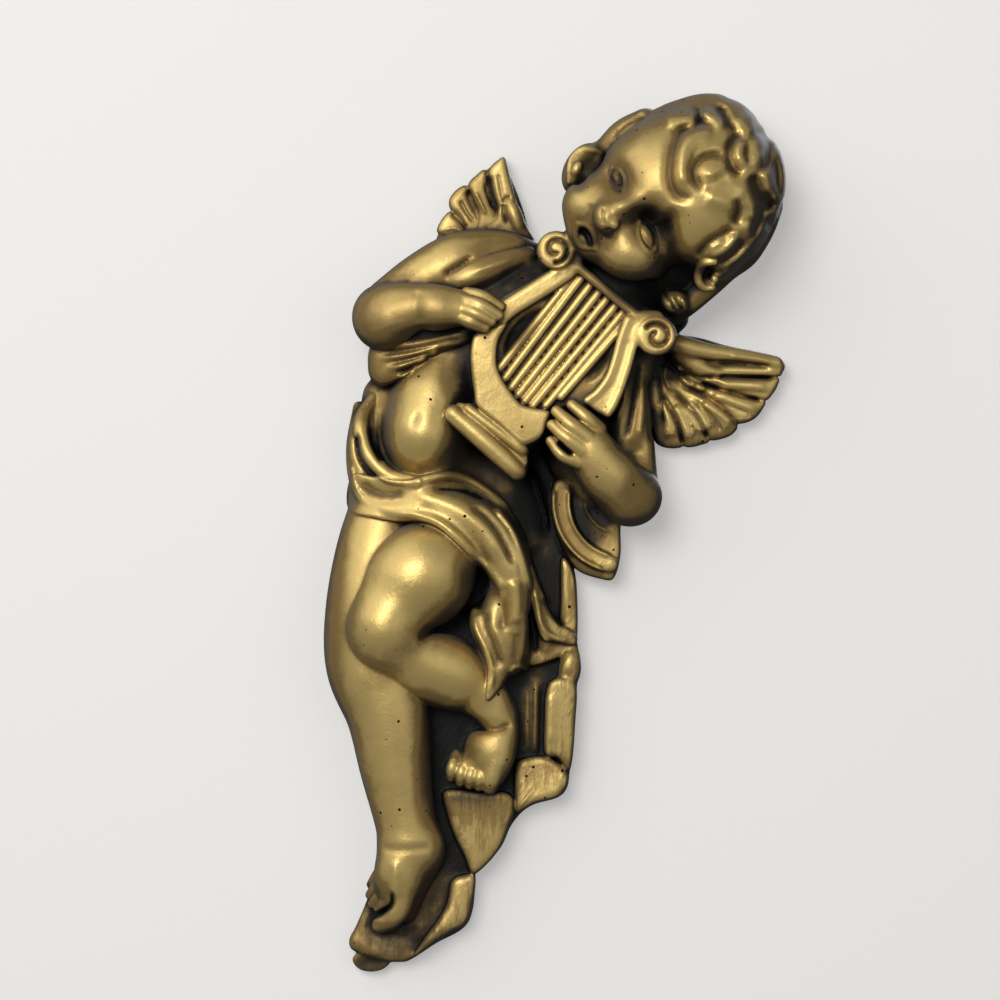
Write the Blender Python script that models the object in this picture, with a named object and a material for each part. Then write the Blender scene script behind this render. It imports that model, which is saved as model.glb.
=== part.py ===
"""Cherub wall plaque: a cast relief of a winged child with a lyre, flat at the back, hung on a wall.

The figure is shaped as one body of clay on a grid of signed distances, in millimetres, in the
carver's frame: x to the right, z up and h out from the wall, as the relief is seen from a short
way in front of it. The surface is then drawn in slightly towards the wall's plane, turned so that
the figure hangs upright, and made a closed mesh with a flat back.
"""
import math

import bmesh
import bpy
import numpy as np
import openvdb
from mathutils import Matrix

GRAIN = 1.15  # spacing of the clay's grid, mm
FACES = 9300  # triangles kept for the solid
LEAN = 22.3  # the figure's lean in the carver's frame, degrees from upright
EYE_DISTANCE = 850.0  # where the relief is judged from, mm out from the wall
EYE_HEIGHT = 28.0  # height out from the wall at which carver's millimetres are true
MOUNT = (27.0, 58.0)  # the hanging point on the back, carver's x and z
BACKING = 7.0  # thickness of the plain backing between the forms
FAR = 30.0  # distance given where no form reaches
LOW, HIGH = (-66.0, -162.0, -3.0), (102.0, 142.0, 66.0)  # the clay's block


def curve(points, closed=False, steps=6):
    """A smooth curve through the points, each step cut into a few straight runs."""
    p = np.array(points, float)
    count = len(p)
    if count < 3:
        t = np.linspace(0, 1, steps + 1)[:, None]
        return p[0] + (p[-1] - p[0]) * t
    if closed:
        p = np.concatenate([p[-1:], p, p[:2]])
    else:
        p = np.concatenate([2 * p[:1] - p[1:2], p, 2 * p[-1:] - p[-2:-1]])
    t = np.linspace(0, 1, steps, endpoint=False)[:, None]
    runs = []
    for i in range(1, len(p) - 2):
        a, b, c, d = p[i - 1], p[i], p[i + 1], p[i + 2]
        runs.append(b + 0.5 * t * (c - a + t * (2 * a - 5 * b + 4 * c - d + t * (3 * (b - c) + d - a))))
    if not closed:
        runs.append(p[-2:-1])
    return np.concatenate(runs)


def smooth_min(a, b, blend):
    """The smaller of two distances, rounded over where they are close."""
    if blend <= 0:
        return np.minimum(a, b)
    near = np.maximum(blend - np.abs(a - b), 0) / blend
    return np.minimum(a, b) - near * near * (blend / 4)


class Clay:
    """A block of signed distances, negative inside the clay."""

    def __init__(self, grain):
        self.grain = grain
        counts = [int(math.ceil((b - a) / grain)) + 1 for a, b in zip(LOW, HIGH)]
        self.axes = [(a + grain * np.arange(n)).astype(np.float32) for a, n in zip(LOW, counts)]
        self.field = np.full(counts, FAR, np.float32)

    def window(self, low, high, pad):
        cuts = []
        for axis, a, b in zip(self.axes, low, high):
            first = int(np.searchsorted(axis, a - pad))
            last = int(np.searchsorted(axis, b + pad))
            cuts.append(slice(max(first - 1, 0), min(last + 1, len(axis))))
        x, z, h = (axis[cut] for axis, cut in zip(self.axes, cuts))
        return tuple(cuts), x[:, None, None], z[None, :, None], h[None, None, :]

    def flat_window(self, points, pad):
        low, high = np.min(points, 0), np.max(points, 0)
        cuts, x, z, h = self.window((low[0], low[1], LOW[2]), (high[0], high[1], HIGH[2]), pad)
        return cuts, x[:, :, 0], z[:, :, 0], h

    def join(self, cuts, shape, blend):
        self.field[cuts] = smooth_min(self.field[cuts], shape, blend)

    def take(self, cuts, shape, blend):
        self.field[cuts] = -smooth_min(-self.field[cuts], shape, blend)

    def oval(self, centre, radii, turn, pad):
        """An ellipsoid's distance in its window, turned about the way out from the wall."""
        reach = max(radii)
        cuts, x, z, h = self.window(np.subtract(centre, reach), np.add(centre, reach), pad)
        c, s = math.cos(math.radians(turn)), math.sin(math.radians(turn))
        dx, dz, dh = x - centre[0], z - centre[1], h - centre[2]
        a, b = (dx * c + dz * s), (dz * c - dx * s)
        one = np.sqrt((a / radii[0]) ** 2 + (b / radii[1]) ** 2 + (dh / radii[2]) ** 2)
        two = np.sqrt((a / radii[0] ** 2) ** 2 + (b / radii[1] ** 2) ** 2 + (dh / radii[2] ** 2) ** 2)
        return cuts, (one * (one - 1) / np.maximum(two, 1e-6)).astype(np.float32)

    def ball(self, centre, radii, blend=3.0, turn=0.0):
        radii = (radii,) * 3 if np.isscalar(radii) else radii
        cuts, shape = self.oval(centre, radii, turn, blend + 5)
        self.join(cuts, shape, blend)

    def hollow(self, centre, radii, blend=1.5, turn=0.0):
        radii = (radii,) * 3 if np.isscalar(radii) else radii
        cuts, shape = self.oval(centre, radii, turn, blend + 5)
        self.take(cuts, shape, blend)

    def limb(self, points, blend=3.0, flat=1.0, steps=8):
        """A tube along a curve of (x, z, h, radius); flat under 1 thins it towards the wall."""
        p = curve(points, steps=steps)
        reach = p[:, 3].max()
        cuts, x, z, h = self.window(p[:, :3].min(0) - reach, p[:, :3].max(0) + reach, blend + 4)
        best = None
        for a, b in zip(p[:-1], p[1:]):
            ab = (b - a)[:3] * (1, 1, 1 / flat)
            square = max(float(ab @ ab), 1e-9)
            dx, dz, dh = x - a[0], z - a[1], (h - a[2]) / flat
            t = np.clip((dx * ab[0] + dz * ab[1] + dh * ab[2]) / square, 0, 1)
            far = np.sqrt((dx - t * ab[0]) ** 2 + (dz - t * ab[1]) ** 2 + (dh - t * ab[2]) ** 2)
            far = far - (a[3] + t * (b[3] - a[3]))
            best = far if best is None else np.minimum(best, far)
        self.join(cuts, best.astype(np.float32), blend)

    def slab(self, outline, top, blend=1.5, edge=1.5, steps=5, shape=None):
        """Clay from the wall up to a height, inside an outline; shape(x, z, inside) adds height."""
        p = curve(outline, closed=True, steps=steps)
        cuts, x, z, h = self.flat_window(p, blend + 4)
        side = outline_distance(p, x, z)
        height = top + (shape(x, z, -side) if shape else 0)
        rise = np.broadcast_to(h - np.asarray(height)[..., None] if np.ndim(height) else h - height,
                               side.shape + (h.size,))
        self.join(cuts, -smooth_min(-side[..., None], -rise, edge).astype(np.float32), blend)

    def front(self, x, z):
        """How far out the clay reaches at each place."""
        i = np.round((np.asarray(x) - LOW[0]) / self.grain).astype(int)
        j = np.round((np.asarray(z) - LOW[1]) / self.grain).astype(int)
        i = np.clip(i, 0, self.field.shape[0] - 1)
        j = np.clip(j, 0, self.field.shape[1] - 1)
        column = self.field[i, j]
        inside = column < 0
        last = inside.shape[-1] - 1 - np.argmax(inside[..., ::-1], -1)
        return np.where(inside.any(-1), self.axes[2][last] + self.grain / 2, 0)

    def lay(self, path, radius, sink=0.3, blend=1.0, flat=1.0, ends=0.6):
        """A tube laid on the clay's front along a path of (x, z), thinner at its ends."""
        p = curve(path, steps=4)
        heights = self.front(p[:, 0], p[:, 1])
        kernel = np.ones(3) / 3
        heights = np.convolve(np.pad(heights, 1, mode="edge"), kernel, "valid")
        t = np.linspace(0, 1, len(p))
        swell = ends + (1 - ends) * np.sin(np.pi * np.clip(t, 0.0, 1.0)) ** 0.6
        radii = radius * swell
        rows = np.column_stack([p, heights - radii * flat * sink, radii])
        self.limb([tuple(r) for r in rows[::2]] + [tuple(rows[-1])], blend, flat, steps=2)

    def heights(self, cuts):
        """How far out the clay reaches, over a window."""
        block = self.field[cuts]
        inside = block < 0
        last = inside.shape[2] - 1 - np.argmax(inside[:, :, ::-1], axis=2)
        i, j = np.indices(last.shape)
        a, b = block[i, j, last], block[i, j, np.minimum(last + 1, block.shape[2] - 1)]
        out = self.axes[2][cuts[2]][last] + self.grain * np.clip(a / np.minimum(a - b, -1e-6), 0, 1)
        return np.where(inside.any(axis=2), out, 0.0)

    def cover(self, outline, thick, slack=3.0, blend=0.8, edge=1.2, steps=5):
        """Cloth laid over the clay inside an outline, bridging what is narrower than its slack."""
        p = curve(outline, closed=True, steps=steps)
        cuts, x, z, h = self.flat_window(p, max(blend, slack) + 4)
        bare = self.heights(cuts)
        loose = mean_over(np.maximum(bare, mean_over(bare, slack / self.grain)), slack / self.grain)
        top = -smooth_min(-bare, -loose, 2.0) + thick
        side = outline_distance(p, x, z)
        shape = -smooth_min(-side[..., None], -(h - top[..., None]), edge)
        self.join(cuts, shape.astype(np.float32), blend)

    def band(self, path, half, top, blend=0.6, edge=1.0, steps=8):
        """A flat strip along a path of (x, z), from the wall up to its top."""
        p = curve(path, steps=steps)
        cuts, x, z, h = self.flat_window(p, half + blend + 4)
        far, _, _ = path_distance(p, x, z)
        shape = -smooth_min((half - far)[..., None], (top - h) + 0 * far[..., None], edge)
        self.join(cuts, shape.astype(np.float32), blend)

    def soften(self, size):
        """Rounds off the clay by about this many millimetres."""
        cuts = self.used()
        field = np.clip(self.field[cuts], -8, 8)
        for _ in range(round(2 * (size / self.grain) ** 2)):
            for axis in range(3):
                f = np.moveaxis(field, axis, 0)
                f[1:-1] = 0.5 * f[1:-1] + 0.25 * (f[:-2] + f[2:])
        self.field[cuts] = field

    def used(self):
        """The part of the block that any form has reached."""
        near = self.field < FAR
        cuts = []
        for axis in range(3):
            found = np.flatnonzero(near.any(axis=tuple(k for k in range(3) if k != axis)))
            cuts.append(slice(int(found[0]), int(found[-1]) + 1))
        return tuple(cuts)

    def group(self, forms, soft=0.0, blend=0.5, finish=()):
        """Builds forms apart, so that they melt into each other but keep a seam to the rest."""
        rest, self.field = self.field, np.full_like(self.field, FAR)
        for form in forms:
            form(self)
        if soft:
            self.soften(soft)
        for form in finish:
            form(self)
        cuts = self.used()
        rest[cuts] = smooth_min(rest[cuts], self.field[cuts], blend)
        self.field = rest

    def push(self, centre, radii, amount, turn=0.0):
        """Swells (or, under 0, dents) the front over a soft oval patch."""
        reach = 2.2 * max(radii)
        cuts, x, z, h = self.flat_window([np.subtract(centre, reach), np.add(centre, reach)], 0)
        c, s = math.cos(math.radians(turn)), math.sin(math.radians(turn))
        dx, dz = x - centre[0], z - centre[1]
        far = ((dx * c + dz * s) / radii[0]) ** 2 + ((dz * c - dx * s) / radii[1]) ** 2
        self.field[cuts] -= (amount * np.exp(-far)).astype(np.float32)[..., None]

    def fill(self, outline, amount, edge=1.0, steps=5):
        """Swells the front evenly inside an outline."""
        p = curve(outline, closed=True, steps=steps)
        cuts, x, z, h = self.flat_window(p, 4 * edge)
        inside = 1 / (1 + np.exp(np.clip(outline_distance(p, x, z) / edge * 3, -30, 30)))
        self.field[cuts] -= (amount * inside).astype(np.float32)[..., None]

    def stroke(self, path, width, amount, sharp=2.0, ends=0.35):
        """A rounded ridge (or groove, under 0) along a path of (x, z), fading at its ends."""
        p = curve(path)
        cuts, x, z, h = self.flat_window(p, 3 * width)
        far, along, side = path_distance(p, x, z)
        fade = np.clip(np.minimum(along, 1 - along) / max(ends * 0.5, 1e-3), 0, 1)
        fade = fade * fade * (3 - 2 * fade)
        shape = (amount * fade * np.exp(-((far / width) ** sharp))).astype(np.float32)
        self.field[cuts] -= shape[..., None]


def mean_over(a, cells):
    """The mean over a square of about this many cells each way."""
    half = max(1, int(round(cells)))
    for axis in (0, 1):
        pads = [(half + 1, half) if axis == k else (0, 0) for k in (0, 1)]
        total = np.moveaxis(np.cumsum(np.pad(a, pads, mode="edge"), axis=axis), axis, 0)
        a = np.moveaxis((total[2 * half + 1:] - total[:-(2 * half + 1)]) / (2 * half + 1), 0, axis)
    return a


def path_distance(p, x, z):
    """Distance to a path, how far along it (0 to 1), and the distance signed + on the path's left."""
    best = along = side = None
    lengths = np.hypot(*np.diff(p, axis=0).T)
    total, start = max(lengths.sum(), 1e-9), 0.0
    for a, b, length in zip(p[:-1], p[1:], lengths):
        ab = b - a
        square = max(float(ab @ ab), 1e-9)
        dx, dz = x - a[0], z - a[1]
        t = np.clip((dx * ab[0] + dz * ab[1]) / square, 0, 1)
        far = np.hypot(dx - t * ab[0], dz - t * ab[1])
        left = np.where(ab[0] * dz - ab[1] * dx >= 0, 1.0, -1.0)
        here = (start + t * length) / total
        start += length
        if best is None:
            best, along, side = far, here, left
            continue
        nearer = far < best
        along = np.where(nearer, here, along)
        side = np.where(nearer, left, side)
        best = np.where(nearer, far, best)
    return best, along, side * best


def outline_distance(p, x, z):
    """Signed distance to a closed outline, negative inside it."""
    far, _, _ = path_distance(np.concatenate([p, p[:1]]), x, z)
    inside = np.zeros(np.broadcast(x, z).shape, bool)
    for a, b in zip(p, np.roll(p, -1, axis=0)):
        if a[1] == b[1]:
            continue
        cross = (a[1] > z) != (b[1] > z)
        inside ^= cross & (x < a[0] + (z - a[1]) * (b[0] - a[0]) / (b[1] - a[1]))
    return np.where(inside, -far, far)


def backing(clay):
    """The plain backing that ties the forms together, and the rocks below the cloth."""
    clay.slab([(-30, 20), (0, 30), (16, 14), (18.5, -6), (22, -19), (25.2, -27), (25.2, -60),
               (24.6, -76), (23.4, -89), (21, -98), (10, -102), (4, -108), (0, -116), (-8, -123),
               (-8.8, -135), (-12, -142.5), (-22, -148), (-29, -152.2), (-37, -153.2),
               (-46, -150.6), (-49.6, -147), (-44.6, -134), (-40, -120), (-30, -90)], BACKING,
               edge=2)
    clay.slab([(20.6, -19.5), (23.6, -22), (25.4, -29), (25.4, -46), (20.6, -46),
               (20.4, -30)], 11.5, blend=1, edge=2.2)
    clay.slab([(16.4, -61), (25, -61), (25, -75), (24, -87), (22.4, -90), (19.4, -86),
               (15.2, -84.6), (15, -76)], 13.5, blend=0.6, edge=2.4,
              shape=lambda x, z, inside: 0.03 * (z + 75) - 0.1 * (x - 20))
    clay.stroke([(12.0, -59), (11.6, -86)], 1.0, 1.2)
    clay.stroke([(9.2, -62), (9.0, -84)], 0.8, 0.9)
    clay.stroke([(17.4, -64), (17.0, -82)], 1.6, 0.6)
    clay.slab([(5.4, -89), (9, -86), (15, -85.6), (20, -88), (22.6, -92), (21.8, -96),
               (18.6, -99.2), (12, -100.8), (7, -103.5), (5.2, -103)], 12.0, blend=0.6, edge=2.4,
              shape=lambda x, z, inside: 0.12 * (x - 14) - 0.06 * (z + 94))
    clay.slab([(-18.4, -97), (-17.6, -104), (-15, -112), (-11.5, -119), (-9, -124.6), (-4, -121),
               (0.2, -115.5), (3, -108.5), (4.6, -103.6), (3, -98), (-8, -97)], 14.0, blend=0.6,
               edge=2.6,
              shape=lambda x, z, inside: 0.06 * (z + 110) - 0.1 * np.abs(x + 8))
    clay.slab([(-16, -127), (-12, -125), (-8.2, -125.6), (-9.2, -134), (-11.4, -141), (-17, -144.2),
               (-23, -148.6), (-28.6, -152), (-26, -147), (-20.6, -140), (-17.4, -134)], 11.5,
               blend=0.8, edge=3)
    clay.limb([(-47, -147.4, 5, 2.6), (-41, -150.2, 5.6, 2.6), (-32, -151, 6, 2.4)], blend=3)


def stub(clay):
    """The short dark plug under the foot, close to the wall."""
    clay.slab([(-36.6, -152.6), (-38.4, -156), (-43, -157.2), (-47.4, -156), (-49, -152.4),
               (-43, -149)], 6.0, blend=0.4, edge=1.2)
    clay.push((-43.4, -154.4), (2.2, 1.2), -0.8)


def standing_leg(clay):
    clay.limb([(-37, 0, 9, 12), (-40.5, -18, 12, 14.3), (-43.5, -38, 14, 14.8),
               (-43.2, -55, 14, 14.8), (-37.4, -71, 14, 13.9), (-34.8, -89, 13.5, 12.0),
               (-32.4, -103, 13, 10.4), (-30.6, -112, 12.5, 10.0)], blend=4)
    clay.ball((-27.2, -116.5, 11.4), (9.0, 8.6, 9.0), 4, turn=20)
    clay.limb([(-31.6, -117, 13, 9.2), (-33.6, -126, 13, 8.6), (-35.2, -133, 10.6, 6.0)], blend=3)
    clay.limb([(-26, -120, 9, 6), (-29, -130, 8, 4.4), (-31.6, -137, 8, 4)], blend=3)
    clay.limb([(-33.4, -130, 15.4, 4.6), (-33.6, -135.4, 15, 4.4), (-36.4, -139.4, 13.6, 3.8),
               (-40.2, -141.8, 12.2, 2.9)], blend=2)


def standing_toes(clay):
    for x, z, u, w, h in ((-36.4, -131.6, -40.4, -136.4, 13.4),
                          (-38.0, -129.4, -42.4, -134.6, 11.6), (-39.0, -126.4, -43.2, -131.6, 9.8),
                          (-39.4, -123.4, -42.8, -128.2, 8.4)):
        clay.limb([(x, z, h, 2.2), ((x + u) / 2, (z + w) / 2, h + 0.8, 2.1), (u, w, h - 1.4, 1.7)],
                  blend=0.4)
    clay.stroke([(-43, -138.8), (-39.4, -137.6), (-36, -134.6), (-36.2, -130)], 0.9, -1.6)
    clay.stroke([(-41, -115.4), (-33, -116.6), (-22, -115.8)], 1.6, -0.6, ends=0.4)
    clay.stroke([(-35, -119), (-35, -127), (-34.4, -134)], 1.6, 0.8, ends=0.5)
    clay.push((-41.6, -141.4), (1.3, 1.0), -0.5, turn=30)


def crossed_leg(clay):
    clay.limb([(-37, -47, 20, 13), (-28, -53.4, 17.5, 13.2), (-17.6, -57.6, 15.6, 12.4),
               (-10.4, -61.4, 14, 9.6), (-4, -67, 13.5, 7.6), (-1, -71.4, 13, 5.8)], blend=2)
    clay.ball((-27.6, -26.2, 19), (22.0, 17.8, 19.5), 1.5, turn=42)
    clay.ball((-38.6, -42, 22), (13.2, 14, 16), 6)
    clay.limb([(0.2, -71, 11, 5.6), (-0.6, -78, 13, 6.8), (-1.6, -85, 14.4, 6.6),
               (-2.6, -91, 14.4, 4.8)], blend=2)
    clay.ball((-5.6, -83, 11), (6.6, 8, 9), 3)
    clay.ball((-9.6, -88.6, 9), (6.4, 5, 8), 2)


def crossed_toes(clay):
    clay.limb([(-1.4, -88, 17.4, 3.4), (-2.8, -93, 17, 3.1), (-3.4, -95.8, 15.8, 2.5)], blend=1)
    for i, low in enumerate((-95.6, -95.0, -94.0, -92.4)):
        x = -7.0 - 3.1 * i
        h = 14.4 - 0.8 * i
        clay.limb([(x + 1.8, low + 7.4, h, 1.9), (x + 0.3, low + 3.0, h + 2.8, 1.95),
                   (x, low, h + 1.2, 1.6)], blend=0.5)
    clay.stroke([(-28, -47.4), (-22, -43.8), (-15, -43.2), (-10, -44.6)], 1.7, -1.4)
    clay.stroke([(-13, -72.6), (-7, -76.0), (-1, -76.6), (4.4, -74.4)], 1.4, -1.3)
    clay.push((-3.2, -72.6), (4.2, 2.2), 0.8)


def torso(clay):
    clay.limb([(-25, 8, 9, 14), (-21, 30, 9, 16), (-8, 52, 8, 18), (14, 66, 9, 17),
               (34, 56, 6, 15)], blend=5)
    clay.ball((-25.4, 23, 16.2), (13.2, 15.8, 17.5), 5, turn=-12)
    clay.ball((-22.4, 35, 14.6), (12.2, 13.4, 15.4), 6, turn=-24)
    clay.limb([(-36, 14, 5, 9), (-38, 24, 6, 9), (-38, 34, 6, 8)], blend=4)
    clay.limb([(-10, 8, 4, 10), (4, 4, 2, 11), (8, -12, 0, 10)], blend=5)
    clay.limb([(20, 30, 8, 10), (26, 14, 6, 10), (33, 2, 4, 9)], blend=4)
    clay.limb([(30, 66, 10, 10), (43, 58, 12, 10), (43, 44, 13, 8)], blend=4)
    clay.limb([(40, 44, 15, 8), (42.4, 30, 15, 8.4), (43.4, 16, 15, 8.4), (44.6, 4, 17, 8.2)],
              blend=3)
    clay.ball((34, 28, 8), (8, 9, 11), 3)
    clay.limb([(-2, 44, 18, 9), (4, 56, 19, 9.5), (12, 63, 19, 9)], blend=3)


def arm_folds(clay):
    clay.push((-28.2, 26.8), (1.5, 2.6), -0.8, turn=-20)
    clay.push((44.6, 15.4), (3.4, 4.4), -2.6, turn=-20)
    clay.stroke([(46.6, 47), (44.6, 34), (41.6, 19)], 1.1, -1.2)
    clay.stroke([(49.4, 42), (50.0, 30), (50.4, 18)], 1.0, -0.9)
    clay.stroke([(47.6, 40), (47.6, 30), (46.4, 20)], 0.9, 0.9)
    clay.stroke([(42.4, 40), (41, 32), (38.4, 26)], 0.8, 0.8)


def shoulder(clay):
    """The upper arm in its cloth, and the cloth's folds running to the neck."""
    clay.limb([(-37, 66, 13, 8), (-26, 73, 15, 9.4), (-15, 79.4, 15, 9.4), (-5, 82.6, 13, 7.6),
               (4, 82.4, 12, 6.4), (9, 81, 11, 5.6)], blend=3)
    clay.limb([(-20, 70, 17, 3.6), (-13, 73.6, 21, 4.6), (-4, 77.2, 21.4, 4.4), (4, 80, 19.6, 3.6),
               (9.6, 81.6, 17, 2.8)], blend=0.8)
    clay.limb([(-12, 70.4, 19, 3.0), (-3, 73.6, 20.4, 2.8), (9.6, 78.2, 18, 2.4)], blend=0.7)
    clay.limb([(-6, 68.6, 18, 2.4), (2, 71.6, 19, 2.4), (9.8, 75, 18, 2.2)], blend=0.7)


def shoulder_folds(clay):
    clay.stroke([(-20, 74.0), (-14, 78.0), (-8.6, 81.8)], 1.2, -1.2, ends=0.5)
    clay.stroke([(-10, 75.6), (-2, 78.4), (6, 81)], 1.0, 0.6, ends=0.5)
    clay.stroke([(-5.6, 69.6), (1.6, 72.6), (10, 76)], 0.55, 0.5)


def right_arm(clay):
    clay.limb([(-38.2, 61.4, 23, 10.0), (-34, 63, 28, 9.6), (-27, 64.6, 31.4, 7.7),
               (-21.4, 64.2, 33.4, 7.8), (-16.4, 64.2, 34.2, 6.2)], blend=2)
    clay.ball((-38.8, 60.6, 21), (9.8, 10.6, 15), 4)
    clay.limb([(-16, 64, 34, 5.4), (-11, 63.6, 35, 5.6), (-7, 62.8, 35, 5.0)], blend=3, flat=0.75)


def right_fingers(clay):
    for points in (((-14.6, 61.4, 36.4, 2.1), (-10, 59.4, 38.6, 2.4), (-5.2, 57.4, 37.4, 1.9)),
                   ((-13.6, 64.2, 37.4, 2.0), (-8, 62.2, 39.4, 2.3), (-3, 59.6, 37.8, 1.9)),
                   ((-12.2, 66.8, 36.8, 2.0), (-6.4, 65.0, 38.8, 2.2), (-0.6, 61.6, 37.0, 1.9)),
                   ((-11, 69.2, 34.6, 1.9), (-5.6, 67.8, 36.6, 2.1), (0, 64.4, 34.8, 1.8))):
        clay.limb(list(points), blend=0.7)
    clay.stroke([(-27, 70), (-27.8, 64), (-26.6, 58.6)], 1.6, -0.5)


def sleeve(clay):
    """The cloth that hangs under the right forearm."""
    clay.slab([(-42.8, 52), (-44, 44), (-42.6, 39.8), (-39, 38.0), (-33.6, 40.0), (-27.6, 44.8),
               (-20, 49.0), (-10, 53), (-8, 60), (-34, 60)], 27, blend=1, edge=6,
              shape=lambda x, z, inside: 0.25 * (x + 30) + 0.06 * (z - 48))


def sleeve_folds(clay):
    for i in range(7):
        x, z = -43.4 + 1.5 * i, 50.4 - 1.7 * i
        u, w = -9.5 - 2.4 * i, 56 - 1.3 * i
        clay.stroke([(x, z), ((x + u) / 2, (z + w) / 2 - 1.0), (u, w)], 1.1, -0.9 if i % 2 else 1.1,
                    ends=0.4)


CAPE = ((20.6, 4), (20.6, -3), (22.6, -10), (26.6, -15.6), (31, -18.9), (36.4, -21.3))


def cape(clay):
    """The cloak's end behind the left elbow, with its two hem lines."""
    clay.slab([(40.4, -7), (40.2, -18), (38, -26), (34, -26.4), (26, -23.6), (21.6, -17.6),
               (18.6, -10), (18, -2), (19, 8), (34, 10), (44, 4)], 11.0, blend=1, edge=3,
              shape=lambda x, z, inside: 0.12 * (x - 30))
    clay.band(list(CAPE), 2.9, 13.4, blend=0.6, edge=1.6)


def cape_hems(clay):
    for side, height in ((-2.6, 1.5), (2.5, 0.9)):
        p = curve(list(CAPE), steps=3)
        run = np.gradient(p, axis=0)
        run = run / np.hypot(*run.T)[:, None]
        clay.stroke([tuple(q) for q in p + side * np.column_stack([-run[:, 1], run[:, 0]])], 0.75,
                    height, ends=0.15)
    clay.stroke([(28, 0), (29, -4), (32.6, -8.6), (37.6, -11)], 0.5, 0.9)


def left_arm(clay):
    clay.limb([(44.4, 1.8, 21, 9.0), (41, 4, 25, 9.4), (36.6, 8.2, 29, 9.4),
               (32.6, 13.0, 31.4, 8.4), (30.4, 16.4, 33, 7.0)], blend=3)
    clay.ball((42.8, 0.6, 18), (10.2, 9.2, 13), 4)
    clay.ball((30.0, 17.8, 33.6), (8.0, 7.2, 5.2), 3, turn=-40)


def left_fingers(clay):
    for points in (((32.6, 23.6, 34.6, 3.0), (28.4, 27.8, 36.4, 2.4), (24.0, 31.6, 35, 1.9)),
                   ((28.8, 20.8, 37, 3.2), (23.6, 25.2, 38.6, 2.6), (18.8, 29.6, 36.4, 1.9)),
                   ((27.2, 17, 37.2, 3.2), (22.2, 20.8, 38.6, 2.6), (17.4, 25.0, 36.6, 1.9)),
                   ((26, 12.8, 36.4, 2.6), (20.8, 15.2, 38.2, 2.3), (17.0, 19.6, 36.4, 1.8))):
        clay.limb(list(points), blend=0.6)
    clay.stroke([(24.4, 14.6), (21.6, 16.8), (19.0, 19.6)], 0.7, -1.6)


STRINGS = ((-0.2, 43.8, 24.4, 74.6), (1.8, 40.6, 28.0, 75.2), (4.0, 37.6, 31.0, 72.8),
           (6.2, 35.2, 33.9, 70.4),
           (8.4, 33.0, 36.6, 68.2), (11.0, 31.4, 39.4, 65.8), (15.4, 31.4, 42.0, 63.6),
           (20.4, 34.4, 44.2, 61.6))


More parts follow.
